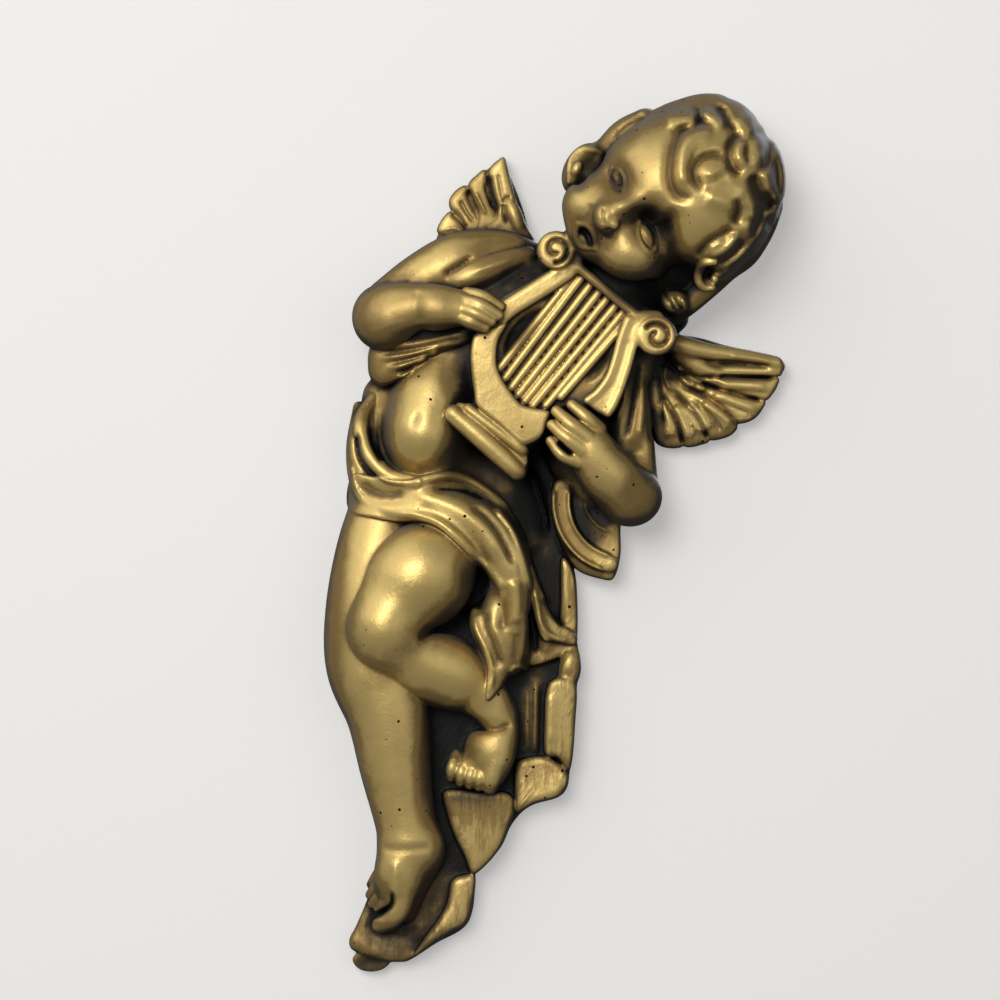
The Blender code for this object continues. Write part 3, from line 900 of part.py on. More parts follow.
def keep_largest(mesh):
    """Drops specks that don't belong to the main body."""
    form = bmesh.new()
    form.from_mesh(mesh)
    form.verts.ensure_lookup_table()
    left, bodies = set(form.verts), []
    while left:
        start = left.pop()
        body, edge = [start], [start]
        while edge:
            vert = edge.pop()
            for link in vert.link_edges:
                other = link.other_vert(vert)
                if other in left:
                    left.discard(other)
                    body.append(other)
                    edge.append(other)
        bodies.append(body)
    bodies.sort(key=len)
    for body in bodies[:-1]:
        bmesh.ops.delete(form, geom=body, context="VERTS")
    form.to_mesh(mesh)
    form.free()


def brass_paint():
    material = bpy.data.materials.new("antique_brass_paint")
    material.use_nodes = True
    shader = material.node_tree.nodes["Principled BSDF"]
    shader.inputs["Base Color"].default_value = (0.36, 0.26, 0.11, 1)
    shader.inputs["Metallic"].default_value = 0.75
    shader.inputs["Roughness"].default_value = 0.42
    return material


def main():
    for old in list(bpy.data.objects):
        bpy.data.objects.remove(old, do_unlink=True)
    clay = sculpt(GRAIN)
    points, quads = surface(clay)
    points = hung(points)
    mesh = bpy.data.meshes.new("cherub_casting")
    mesh.from_pydata(points.tolist(), [], quads.tolist())
    mesh.update()
    keep_largest(mesh)
    casting = bpy.data.objects.new("cherub_casting", mesh)
    bpy.context.scene.collection.objects.link(casting)
    casting.data.materials.append(brass_paint())
    thin = casting.modifiers.new("Fewer faces", "DECIMATE")
    triangles = sum(len(face.vertices) - 2 for face in mesh.polygons)
    thin.ratio = min(1.0, FACES / triangles)
    thin.use_collapse_triangulate = True
    mesh.shade_smooth()


main()
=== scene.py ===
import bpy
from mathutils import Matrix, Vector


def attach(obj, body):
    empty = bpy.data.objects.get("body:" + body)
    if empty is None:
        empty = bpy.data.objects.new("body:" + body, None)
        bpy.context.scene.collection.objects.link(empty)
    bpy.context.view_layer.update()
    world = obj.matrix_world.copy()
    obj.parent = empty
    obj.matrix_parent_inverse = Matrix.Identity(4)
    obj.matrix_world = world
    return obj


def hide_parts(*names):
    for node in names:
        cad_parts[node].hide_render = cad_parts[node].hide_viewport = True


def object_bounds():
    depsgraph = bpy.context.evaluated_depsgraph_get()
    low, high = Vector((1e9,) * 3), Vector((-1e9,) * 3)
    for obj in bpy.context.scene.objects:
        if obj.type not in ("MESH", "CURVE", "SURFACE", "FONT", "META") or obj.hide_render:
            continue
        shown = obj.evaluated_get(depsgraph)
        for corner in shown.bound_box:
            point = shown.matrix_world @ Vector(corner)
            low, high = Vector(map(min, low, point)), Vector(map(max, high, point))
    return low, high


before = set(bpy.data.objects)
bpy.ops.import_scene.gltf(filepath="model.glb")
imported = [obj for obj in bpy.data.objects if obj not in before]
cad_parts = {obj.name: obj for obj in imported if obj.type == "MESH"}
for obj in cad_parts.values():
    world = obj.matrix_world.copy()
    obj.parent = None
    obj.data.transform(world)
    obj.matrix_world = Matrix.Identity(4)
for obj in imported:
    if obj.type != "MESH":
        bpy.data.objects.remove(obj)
frameBox = [list(corner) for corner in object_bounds()]

import math

import bmesh
import bpy
import numpy as np
import openvdb
from mathutils import Matrix, Vector

# how the casting is shaped; lengths in millimetres, angles in degrees
clayValues = {
    "grain": 0.5,  # spacing of the clay's grid
    "triangles": 190000,  # kept on the shown casting
    "lean": 22.3,  # the figure's lean as it is seen, from upright
    "eyeDistance": 850.0,  # from the wall
    "eyeHeight": 28.0,  # height out from the wall that is seen at true size
    "mount": (27.0, 58.0),  # the hanging point as it is seen
    "backing": 7.0,  # thickness of the plain backing
}
lean = math.radians(clayValues["lean"])
farAway = 30.0  # distance given where no form reaches
lowCorner, highCorner = (-66.0, -162.0, -3.0), (102.0, 142.0, 66.0)  # the clay's block


# a smooth curve through the points, each step cut into a few straight runs
def curve(points, closed=False, steps=6):
    p = np.array(points, float)
    count = len(p)
    if count < 3:
        t = np.linspace(0, 1, steps + 1)[:, None]
        return p[0] + (p[-1] - p[0]) * t
    if closed:
        p = np.concatenate([p[-1:], p, p[:2]])
    else:
        p = np.concatenate([2 * p[:1] - p[1:2], p, 2 * p[-1:] - p[-2:-1]])
    t = np.linspace(0, 1, steps, endpoint=False)[:, None]
    runs = []
    for i in range(1, len(p) - 2):
        a, b, c, d = p[i - 1], p[i], p[i + 1], p[i + 2]
        runs.append(b + 0.5 * t * (c - a + t * (2 * a - 5 * b + 4 * c - d + t * (3 * (b - c) + d - a))))
    if not closed:
        runs.append(p[-2:-1])
    return np.concatenate(runs)


def smoothMin(a, b, blend):  # the smaller of two distances, rounded over where they are close
    if blend <= 0:
        return np.minimum(a, b)
    near = np.maximum(blend - np.abs(a - b), 0) / blend
    return np.minimum(a, b) - near * near * (blend / 4)


class Clay:  # a block of signed distances, negative inside the clay

    def __init__(self, grain):
        self.grain = grain
        counts = [int(math.ceil((b - a) / grain)) + 1 for a, b in zip(lowCorner, highCorner)]
        self.axes = [(a + grain * np.arange(n)).astype(np.float32) for a, n in zip(lowCorner, counts)]
        self.field = np.full(counts, farAway, np.float32)
        self.tone = np.zeros(counts[:2], np.float32)  # -1 in what is cut in, 1 on what is raised

    def window(self, low, high, pad):
        cuts = []
        for axis, a, b in zip(self.axes, low, high):
            first = int(np.searchsorted(axis, a - pad))
            last = int(np.searchsorted(axis, b + pad))
            cuts.append(slice(max(first - 1, 0), min(last + 1, len(axis))))
        x, z, h = (axis[cut] for axis, cut in zip(self.axes, cuts))
        return tuple(cuts), x[:, None, None], z[None, :, None], h[None, None, :]

    def flatWindow(self, points, pad):
        low, high = np.min(points, 0), np.max(points, 0)
        cuts, x, z, h = self.window((low[0], low[1], lowCorner[2]), (high[0], high[1], highCorner[2]), pad)
        return cuts, x[:, :, 0], z[:, :, 0], h

    def join(self, cuts, shape, blend):
        self.field[cuts] = smoothMin(self.field[cuts], shape, blend)

    def take(self, cuts, shape, blend):
        self.field[cuts] = -smoothMin(-self.field[cuts], shape, blend)

    # an ellipsoid's distance in its window, turned about the way out from the wall
    def oval(self, centre, radii, turn, pad):
        reach = max(radii)
        cuts, x, z, h = self.window(np.subtract(centre, reach), np.add(centre, reach), pad)
        c, s = math.cos(math.radians(turn)), math.sin(math.radians(turn))
        dx, dz, dh = x - centre[0], z - centre[1], h - centre[2]
        a, b = (dx * c + dz * s), (dz * c - dx * s)
        one = np.sqrt((a / radii[0]) ** 2 + (b / radii[1]) ** 2 + (dh / radii[2]) ** 2)
        two = np.sqrt((a / radii[0] ** 2) ** 2 + (b / radii[1] ** 2) ** 2 + (dh / radii[2] ** 2) ** 2)
        return cuts, (one * (one - 1) / np.maximum(two, 1e-6)).astype(np.float32)

    def ball(self, centre, radii, blend=3.0, turn=0.0):
        self.join(*self.oval(centre, radii, turn, blend + 5), blend)

    def hollow(self, centre, radii, blend=1.5, turn=0.0):
        self.take(*self.oval(centre, radii, turn, blend + 5), blend)

    # a tube along a curve of (x, z, h, radius); flat under 1 thins it towards the wall
    def limb(self, points, blend=3.0, flat=1.0, steps=8):
        p = curve(points, steps=steps)
        reach = p[:, 3].max()
        cuts, x, z, h = self.window(p[:, :3].min(0) - reach, p[:, :3].max(0) + reach, blend + 4)
        best = None
        for a, b in zip(p[:-1], p[1:]):
            ab = (b - a)[:3] * (1, 1, 1 / flat)
            square = max(float(ab @ ab), 1e-9)
            dx, dz, dh = x - a[0], z - a[1], (h - a[2]) / flat
            t = np.clip((dx * ab[0] + dz * ab[1] + dh * ab[2]) / square, 0, 1)
            far = np.sqrt((dx - t * ab[0]) ** 2 + (dz - t * ab[1]) ** 2 + (dh - t * ab[2]) ** 2)
            far = far - (a[3] + t * (b[3] - a[3]))
            best = far if best is None else np.minimum(best, far)
        self.join(cuts, best.astype(np.float32), blend)

    # clay from the wall up to a height, inside an outline; shape(x, z, inside) adds to the height
    def slab(self, outline, top, blend=1.5, edge=1.5, steps=5, shape=None):
        p = curve(outline, closed=True, steps=steps)
        cuts, x, z, h = self.flatWindow(p, blend + 4)
        side = outlineDistance(p, x, z)
        height = top + (shape(x, z, -side) if shape else 0)
        rise = np.broadcast_to(h - np.asarray(height)[..., None] if np.ndim(height) else h - height,
                               side.shape + (h.size,))
        self.join(cuts, -smoothMin(-side[..., None], -rise, edge).astype(np.float32), blend)

    def nearest(self, x, z):  # the grid's column at each place
        return tuple(np.clip(np.round((np.asarray(a) - low) / self.grain).astype(int), 0, n - 1)
                     for a, low, n in zip((x, z), lowCorner, self.field.shape))

    def front(self, x, z):  # how far out the clay reaches at each place
        inside = self.field[self.nearest(x, z)] < 0
        last = inside.shape[-1] - 1 - np.argmax(inside[..., ::-1], -1)
        return np.where(inside.any(-1), self.axes[2][last] + self.grain / 2, 0)

    # a tube laid on the clay's front along a path of (x, z), thinner at its ends
    def lay(self, path, radius, sink=0.3, blend=1.0, ends=0.6):
        p = curve(path, steps=4)
        heights = np.pad(self.front(p[:, 0], p[:, 1]), 1, mode="edge")
        heights = np.convolve(heights, np.ones(3) / 3, "valid")
        swell = ends + (1 - ends) * np.sin(np.pi * np.linspace(0, 1, len(p))) ** 0.6
        radii = radius * swell
        rows = np.column_stack([p, heights - radii * sink, radii])
        self.limb([*rows[::2], rows[-1]], blend, steps=2)

    def heights(self, cuts):  # how far out the clay reaches, over a window
        block = self.field[cuts]
        inside = block < 0
        last = inside.shape[2] - 1 - np.argmax(inside[:, :, ::-1], axis=2)
        i, j = np.indices(last.shape)
        a, b = block[i, j, last], block[i, j, np.minimum(last + 1, block.shape[2] - 1)]
        out = self.axes[2][cuts[2]][last] + self.grain * np.clip(a / np.minimum(a - b, -1e-6), 0, 1)
        return np.where(inside.any(axis=2), out, 0.0)

    # cloth laid over the clay inside an outline, bridging what is narrower than its slack
    def cover(self, outline, thick, slack=3.0, blend=0.8, edge=1.2, steps=5):
        p = curve(outline, closed=True, steps=steps)
        cuts, x, z, h = self.flatWindow(p, max(blend, slack) + 4)
        bare = self.heights(cuts)
        loose = meanOver(np.maximum(bare, meanOver(bare, slack / self.grain)), slack / self.grain)
        top = -smoothMin(-bare, -loose, 2.0) + thick
        side = outlineDistance(p, x, z)
        shape = -smoothMin(-side[..., None], -(h - top[..., None]), edge)
        self.join(cuts, shape.astype(np.float32), blend)

    # a flat strip along a path of (x, z), from the wall up to its top
    def band(self, path, half, top, blend=0.6, edge=1.0, steps=8):
        p = curve(path, steps=steps)
        cuts, x, z, h = self.flatWindow(p, half + blend + 4)
        far, _ = pathDistance(p, x, z)
        shape = -smoothMin(-(far - half)[..., None], -(h - top) + 0 * far[..., None], edge)
        self.join(cuts, shape.astype(np.float32), blend)

    def soften(self, size):  # rounds off the clay by about this many millimetres
        cuts = self.used()
        field = np.clip(self.field[cuts], -8, 8)
        self.field[cuts] = evened(field, round(2 * (size / self.grain) ** 2))

    def used(self):  # the part of the block that any form has reached
        near = self.field < farAway
        cuts = []
        for axis in range(3):
            found = np.flatnonzero(near.any(axis=tuple(k for k in range(3) if k != axis)))
            cuts.append(slice(int(found[0]), int(found[-1]) + 1))
        return tuple(cuts)

    # builds forms apart, so that they melt into each other but keep a seam to the rest
    def group(self, forms, soft=0.0, blend=0.5, finish=()):
        rest, self.field = self.field, np.full_like(self.field, farAway)
        for form in forms:
            form(self)
        if soft:
            self.soften(soft)
        for form in finish:
            form(self)
        cuts = self.used()
        rest[cuts] = smoothMin(rest[cuts], self.field[cuts], blend)
        self.field = rest

    # swells (or, under 0, dents) the front over a soft oval patch
    def push(self, centre, radii, amount, turn=0.0):
        reach = 2.2 * max(radii)
        cuts, x, z, h = self.flatWindow([np.subtract(centre, reach), np.add(centre, reach)], 0)
        c, s = math.cos(math.radians(turn)), math.sin(math.radians(turn))
        dx, dz = x - centre[0], z - centre[1]
        far = ((dx * c + dz * s) / radii[0]) ** 2 + ((dz * c - dx * s) / radii[1]) ** 2
        self.field[cuts] -= (amount * np.exp(-far)).astype(np.float32)[..., None]

    def fill(self, outline, amount, edge=1.0, steps=5):  # swells the front evenly inside an outline
        p = curve(outline, closed=True, steps=steps)
        cuts, x, z, h = self.flatWindow(p, 4 * edge)
        inside = 1 / (1 + np.exp(np.clip(outlineDistance(p, x, z) / edge * 3, -30, 30)))
        self.field[cuts] -= (amount * inside).astype(np.float32)[..., None]

    # a rounded ridge (or groove, under 0) along a path of (x, z), fading at its ends
    def stroke(self, path, width, amount, ends=0.35):
        p = curve(path)
        cuts, x, z, h = self.flatWindow(p, 3 * width)
        far, along = pathDistance(p, x, z)
        fade = np.clip(np.minimum(along, 1 - along) / max(ends * 0.5, 1e-3), 0, 1)
        fade = fade * fade * (3 - 2 * fade)
        shape = amount * fade * np.exp(-((far / width) ** 2.0))
        self.field[cuts] -= shape.astype(np.float32)[..., None]
        high = abs(amount)
        strong = fade * np.exp(-((far / (0.8 * width)) ** 2)) * min(1, high / 1.6) * min(1, high / width)
        tone = self.tone[cuts[:2]]
        tone += (math.copysign(1, amount) - tone) * strong.astype(np.float32)


def evened(field, times):  # each place averaged with its neighbours, a number of times
    for _ in range(times):
        for axis in range(3):
            f = np.moveaxis(field, axis, 0)
            f[1:-1] = 0.5 * f[1:-1] + 0.25 * (f[:-2] + f[2:])
    return field


def meanOver(a, cells):  # the mean over a square of about this many cells each way
    half = max(1, int(round(cells)))
    for axis in (0, 1):
        pads = [(half + 1, half) if axis == k else (0, 0) for k in (0, 1)]
        total = np.moveaxis(np.cumsum(np.pad(a, pads, mode="edge"), axis=axis), axis, 0)
        a = np.moveaxis((total[2 * half + 1:] - total[:-(2 * half + 1)]) / (2 * half + 1), 0, axis)
    return a


def pathDistance(p, x, z):  # distance to a path, and how far along it, 0 to 1
    best = along = None
    lengths = np.hypot(*np.diff(p, axis=0).T)
    total, start = max(lengths.sum(), 1e-9), 0.0
    for a, b, length in zip(p[:-1], p[1:], lengths):
        ab = b - a
        square = max(float(ab @ ab), 1e-9)
        dx, dz = x - a[0], z - a[1]
        t = np.clip((dx * ab[0] + dz * ab[1]) / square, 0, 1)
        far = np.hypot(dx - t * ab[0], dz - t * ab[1])
        here = (start + t * length) / total
        start += length
        if best is None:
            best, along = far, here
            continue
        nearer = far < best
        along = np.where(nearer, here, along)
        best = np.where(nearer, far, best)
    return best, along


def outlineDistance(p, x, z):  # signed distance to a closed outline, negative inside it
    far, _ = pathDistance(np.concatenate([p, p[:1]]), x, z)
    inside = np.zeros(np.broadcast(x, z).shape, bool)
    for a, b in zip(p, np.roll(p, -1, axis=0)):
        if a[1] == b[1]:
            continue
        cross = (a[1] > z) != (b[1] > z)
        inside ^= cross & (x < a[0] + (z - a[1]) * (b[0] - a[0]) / (b[1] - a[1]))
    return np.where(inside, -far, far)


def backing(clay):  # the plain backing that ties the forms together, and the rocks below the cloth
    clay.slab([(-30, 20), (0, 30), (16, 14), (18.5, -6), (22, -19), (25.2, -27), (25.2, -60), (24.6, -76),
        (23.4, -89), (21, -98), (10, -102), (4, -108), (0, -116), (-8, -123), (-8.8, -135), (-12, -142.5),
        (-22, -148), (-29, -152.2), (-37, -153.2), (-46, -150.6), (-49.6, -147), (-44.6, -134), (-40, -120),
        (-30, -90)], clayValues["backing"], edge=2)
    clay.slab([(20.6, -19.5), (23.6, -22), (25.4, -29), (25.4, -46), (20.6, -46), (20.4, -30)], 11.5,
        blend=1, edge=2.2)
    clay.slab([(16.4, -61), (25, -61), (25, -75), (24, -87), (22.4, -90), (19.4, -86), (15.2, -84.6),
        (15, -76)], 13.5, blend=0.6, edge=2.4, shape=lambda x, z, inside: 0.03 * (z + 75) - 0.1 * (x - 20))
    clay.stroke([(12, -59), (11.6, -86)], 1, 1.2)
    clay.stroke([(9.2, -62), (9, -84)], 0.8, 0.9)
    clay.stroke([(17.4, -64), (17, -82)], 1.6, 0.6)
    clay.slab([(5.4, -89), (9, -86), (15, -85.6), (20, -88), (22.6, -92), (21.8, -96), (18.6, -99.2),
        (12, -100.8), (7, -103.5), (5.2, -103)], 12, blend=0.6, edge=2.4,
        shape=lambda x, z, inside: 0.12 * (x - 14) - 0.06 * (z + 94))
    clay.slab([(-18.4, -97), (-17.6, -104), (-15, -112), (-11.5, -119), (-9, -124.6), (-4, -121),
        (0.2, -115.5), (3, -108.5), (4.6, -103.6), (3, -98), (-8, -97)], 14, blend=0.6, edge=2.6,
        shape=lambda x, z, inside: 0.06 * (z + 110) - 0.1 * np.abs(x + 8))
    clay.slab([(-16, -127), (-12, -125), (-8.2, -125.6), (-9.2, -134), (-11.4, -141), (-17, -144.2),
        (-23, -148.6), (-28.6, -152), (-26, -147), (-20.6, -140), (-17.4, -134)], 11.5, blend=0.8, edge=3)
    clay.limb([(-47, -147.4, 5, 2.6), (-41, -150.2, 5.6, 2.6), (-32, -151, 6, 2.4)], blend=3)


def stub(clay):  # the short dark plug under the foot, close to the wall
    clay.slab([(-36.6, -152.6), (-38.4, -156), (-43, -157.2), (-47.4, -156), (-49, -152.4), (-43, -149)], 6,
        blend=0.4, edge=1.2)
    clay.push((-43.4, -154.4), (2.2, 1.2), -0.8)


def standingLeg(clay):
    clay.limb([(-37, 0, 9, 12), (-40.5, -18, 12, 14.3), (-43.5, -38, 14, 14.8), (-43.2, -55, 14, 14.8),
        (-37.4, -71, 14, 13.9), (-34.8, -89, 13.5, 12), (-32.4, -103, 13, 10.4), (-30.6, -112, 12.5, 10)],
        blend=4)
    clay.ball((-27.2, -116.5, 11.4), (9, 8.6, 9), 4, turn=20)
    clay.limb([(-31.6, -117, 13, 9.2), (-33.6, -126, 13, 8.6), (-35.2, -133, 10.6, 6)], blend=3)
    clay.limb([(-26, -120, 9, 6), (-29, -130, 8, 4.4), (-31.6, -137, 8, 4)], blend=3)
    clay.limb([(-33.4, -130, 15.4, 4.6), (-33.6, -135.4, 15, 4.4), (-36.4, -139.4, 13.6, 3.8),
        (-40.2, -141.8, 12.2, 2.9)], blend=2)


def standingToes(clay):
    for x, z, u, w, h in ((-36.4, -131.6, -40.4, -136.4, 13.4), (-38, -129.4, -42.4, -134.6, 11.6),
            (-39, -126.4, -43.2, -131.6, 9.8), (-39.4, -123.4, -42.8, -128.2, 8.4)):
        clay.limb([(x, z, h, 2.2), ((x + u) / 2, (z + w) / 2, h + 0.8, 2.1), (u, w, h - 1.4, 1.7)],
            blend=0.4)
    clay.stroke([(-43, -138.8), (-39.4, -137.6), (-36, -134.6), (-36.2, -130)], 0.9, -1.6)
    clay.stroke([(-41, -115.4), (-33, -116.6), (-22, -115.8)], 1.6, -0.6, ends=0.4)
    clay.stroke([(-35, -119), (-35, -127), (-34.4, -134)], 1.6, 0.8, ends=0.5)
    clay.push((-41.6, -141.4), (1.3, 1), -0.5, turn=30)


def crossedLeg(clay):
    clay.limb([(-37, -47, 20, 13), (-28, -53.4, 17.5, 13.2), (-17.6, -57.6, 15.6, 12.4),
        (-10.4, -61.4, 14, 9.6), (-4, -67, 13.5, 7.6), (-1, -71.4, 13, 5.8)], blend=2)
    clay.ball((-27.6, -26.2, 19), (22, 17.8, 19.5), 1.5, turn=42)
    clay.ball((-38.6, -42, 22), (13.2, 14, 16), 6)
    clay.limb([(0.2, -71, 11, 5.6), (-0.6, -78, 13, 6.8), (-1.6, -85, 14.4, 6.6), (-2.6, -91, 14.4, 4.8)],
        blend=2)
    clay.ball((-5.6, -83, 11), (6.6, 8, 9), 3)
    clay.ball((-9.6, -88.6, 9), (6.4, 5, 8), 2)


def crossedToes(clay):
    clay.limb([(-1.4, -88, 17.4, 3.4), (-2.8, -93, 17, 3.1), (-3.4, -95.8, 15.8, 2.5)], blend=1)
    for i, low in enumerate((-95.6, -95, -94, -92.4)):
        x = -7 - 3.1 * i
        h = 14.4 - 0.8 * i
        clay.limb([(x + 1.8, low + 7.4, h, 1.9), (x + 0.3, low + 3, h + 2.8, 1.95), (x, low, h + 1.2, 1.6)],
            blend=0.5)
    clay.stroke([(-28, -47.4), (-22, -43.8), (-15, -43.2), (-10, -44.6)], 1.7, -1.4)
    clay.stroke([(-13, -72.6), (-7, -76), (-1, -76.6), (4.4, -74.4)], 1.4, -1.3)
    clay.push((-3.2, -72.6), (4.2, 2.2), 0.8)


def torso(clay):
    clay.limb([(-25, 8, 9, 14), (-21, 30, 9, 16), (-8, 52, 8, 18), (14, 66, 9, 17), (34, 56, 6, 15)],
        blend=5)
    clay.ball((-25.4, 23, 16.2), (13.2, 15.8, 17.5), 5, turn=-12)
    clay.ball((-22.4, 35, 14.6), (12.2, 13.4, 15.4), 6, turn=-24)
    clay.limb([(-36, 14, 5, 9), (-38, 24, 6, 9), (-38, 34, 6, 8)], blend=4)
    clay.limb([(-10, 8, 4, 10), (4, 4, 2, 11), (8, -12, 0, 10)], blend=5)
    clay.limb([(20, 30, 8, 10), (26, 14, 6, 10), (33, 2, 4, 9)], blend=4)
    clay.limb([(30, 66, 10, 10), (43, 58, 12, 10), (43, 44, 13, 8)], blend=4)
    clay.limb([(40, 44, 15, 8), (42.4, 30, 15, 8.4), (43.4, 16, 15, 8.4), (44.6, 4, 17, 8.2)], blend=3)
    clay.ball((34, 28, 8), (8, 9, 11), 3)
    clay.limb([(-2, 44, 18, 9), (4, 56, 19, 9.5), (12, 63, 19, 9)], blend=3)


def armFolds(clay):
    clay.push((-28.2, 26.8), (1.5, 2.6), -0.8, turn=-20)
    clay.push((44.6, 15.4), (3.4, 4.4), -2.6, turn=-20)
    clay.stroke([(46.6, 47), (44.6, 34), (41.6, 19)], 1.1, -1.2)
    clay.stroke([(49.4, 42), (50, 30), (50.4, 18)], 1, -0.9)
    clay.stroke([(47.6, 40), (47.6, 30), (46.4, 20)], 0.9, 0.9)
    clay.stroke([(42.4, 40), (41, 32), (38.4, 26)], 0.8, 0.8)


def shoulder(clay):  # the upper arm in its cloth, and the cloth's folds running to the neck
    clay.limb([(-37, 66, 13, 8), (-26, 73, 15, 9.4), (-15, 79.4, 15, 9.4), (-5, 82.6, 13, 7.6),
        (4, 82.4, 12, 6.4), (9, 81, 11, 5.6)], blend=3)
    clay.limb([(-20, 70, 17, 3.6), (-13, 73.6, 21, 4.6), (-4, 77.2, 21.4, 4.4), (4, 80, 19.6, 3.6),
        (9.6, 81.6, 17, 2.8)], blend=0.8)
    clay.limb([(-12, 70.4, 19, 3), (-3, 73.6, 20.4, 2.8), (9.6, 78.2, 18, 2.4)], blend=0.7)
    clay.limb([(-6, 68.6, 18, 2.4), (2, 71.6, 19, 2.4), (9.8, 75, 18, 2.2)], blend=0.7)


def shoulderFolds(clay):
    clay.stroke([(-20, 74), (-14, 78), (-8.6, 81.8)], 1.2, -1.2, ends=0.5)
    clay.stroke([(-10, 75.6), (-2, 78.4), (6, 81)], 1, 0.6, ends=0.5)
    clay.stroke([(-5.6, 69.6), (1.6, 72.6), (10, 76)], 0.55, 0.5)


def rightArm(clay):
    clay.limb([(-38.2, 61.4, 23, 10), (-34, 63, 28, 9.6), (-27, 64.6, 31.4, 7.7), (-21.4, 64.2, 33.4, 7.8),
        (-16.4, 64.2, 34.2, 6.2)], blend=2)
    clay.ball((-38.8, 60.6, 21), (9.8, 10.6, 15), 4)
    clay.limb([(-16, 64, 34, 5.4), (-11, 63.6, 35, 5.6), (-7, 62.8, 35, 5)], blend=3, flat=0.75)


def rightFingers(clay):
    for points in (((-14.6, 61.4, 36.4, 2.1), (-10, 59.4, 38.6, 2.4), (-5.2, 57.4, 37.4, 1.9)),
            ((-13.6, 64.2, 37.4, 2), (-8, 62.2, 39.4, 2.3), (-3, 59.6, 37.8, 1.9)),
            ((-12.2, 66.8, 36.8, 2), (-6.4, 65, 38.8, 2.2), (-0.6, 61.6, 37, 1.9)),
            ((-11, 69.2, 34.6, 1.9), (-5.6, 67.8, 36.6, 2.1), (0, 64.4, 34.8, 1.8))):
        clay.limb(list(points), blend=0.7)
    clay.stroke([(-27, 70), (-27.8, 64), (-26.6, 58.6)], 1.6, -0.5)


def sleeve(clay):  # the cloth that hangs under the right forearm
    clay.slab([(-42.8, 52), (-44, 44), (-42.6, 39.8), (-39, 38), (-33.6, 40), (-27.6, 44.8), (-20, 49),
        (-10, 53), (-8, 60), (-34, 60)], 27, blend=1, edge=6,
        shape=lambda x, z, inside: 0.25 * (x + 30) + 0.06 * (z - 48))


def sleeveFolds(clay):
    for i in range(7):
        x, z = -43.4 + 1.5 * i, 50.4 - 1.7 * i
        u, w = -9.5 - 2.4 * i, 56 - 1.3 * i
        clay.stroke([(x, z), ((x + u) / 2, (z + w) / 2 - 1), (u, w)], 1.1, -0.9 if i % 2 else 1.1, ends=0.4)


capeHem = ((20.6, 4), (20.6, -3), (22.6, -10), (26.6, -15.6), (31, -18.9), (36.4, -21.3))


def cape(clay):  # the cloak's end behind the left elbow, with its two hem lines
    clay.slab([(40.4, -7), (40.2, -18), (38, -26), (34, -26.4), (26, -23.6), (21.6, -17.6), (18.6, -10),
        (18, -2), (19, 8), (34, 10), (44, 4)], 11, blend=1, edge=3,
        shape=lambda x, z, inside: 0.12 * (x - 30))
    clay.band(list(capeHem), 2.9, 13.4, blend=0.6, edge=1.6)


def capeHems(clay):
    for side, height in ((-2.6, 1.5), (2.5, 0.9)):
        p = curve(list(capeHem), steps=3)
        run = np.gradient(p, axis=0)
        run = run / np.hypot(*run.T)[:, None]
        clay.stroke([tuple(q) for q in p + side * np.column_stack([-run[:, 1], run[:, 0]])], 0.75, height,
            ends=0.15)
    clay.stroke([(28, 0), (29, -4), (32.6, -8.6), (37.6, -11)], 0.5, 0.9)


def leftArm(clay):
    clay.limb([(44.4, 1.8, 21, 9), (41, 4, 25, 9.4), (36.6, 8.2, 29, 9.4), (32.6, 13, 31.4, 8.4),
        (30.4, 16.4, 33, 7)], blend=3)
    clay.ball((42.8, 0.6, 18), (10.2, 9.2, 13), 4)
    clay.ball((30, 17.8, 33.6), (8, 7.2, 5.2), 3, turn=-40)


def leftFingers(clay):
    for points in (((32.6, 23.6, 34.6, 3), (28.4, 27.8, 36.4, 2.4), (24, 31.6, 35, 1.9)),
            ((28.8, 20.8, 37, 3.2), (23.6, 25.2, 38.6, 2.6), (18.8, 29.6, 36.4, 1.9)),
            ((27.2, 17, 37.2, 3.2), (22.2, 20.8, 38.6, 2.6), (17.4, 25, 36.6, 1.9)),
            ((26, 12.8, 36.4, 2.6), (20.8, 15.2, 38.2, 2.3), (17, 19.6, 36.4, 1.8))):
        clay.limb(list(points), blend=0.6)
    clay.stroke([(24.4, 14.6), (21.6, 16.8), (19, 19.6)], 0.7, -1.6)


lyreStrings = (  # both ends of each
    (-0.2, 43.8, 24.4, 74.6), (1.8, 40.6, 28, 75.2), (4, 37.6, 31, 72.8), (6.2, 35.2, 33.9, 70.4),
    (8.4, 33, 36.6, 68.2), (11, 31.4, 39.4, 65.8), (15.4, 31.4, 42, 63.6), (20.4, 34.4, 44.2, 61.6),
)


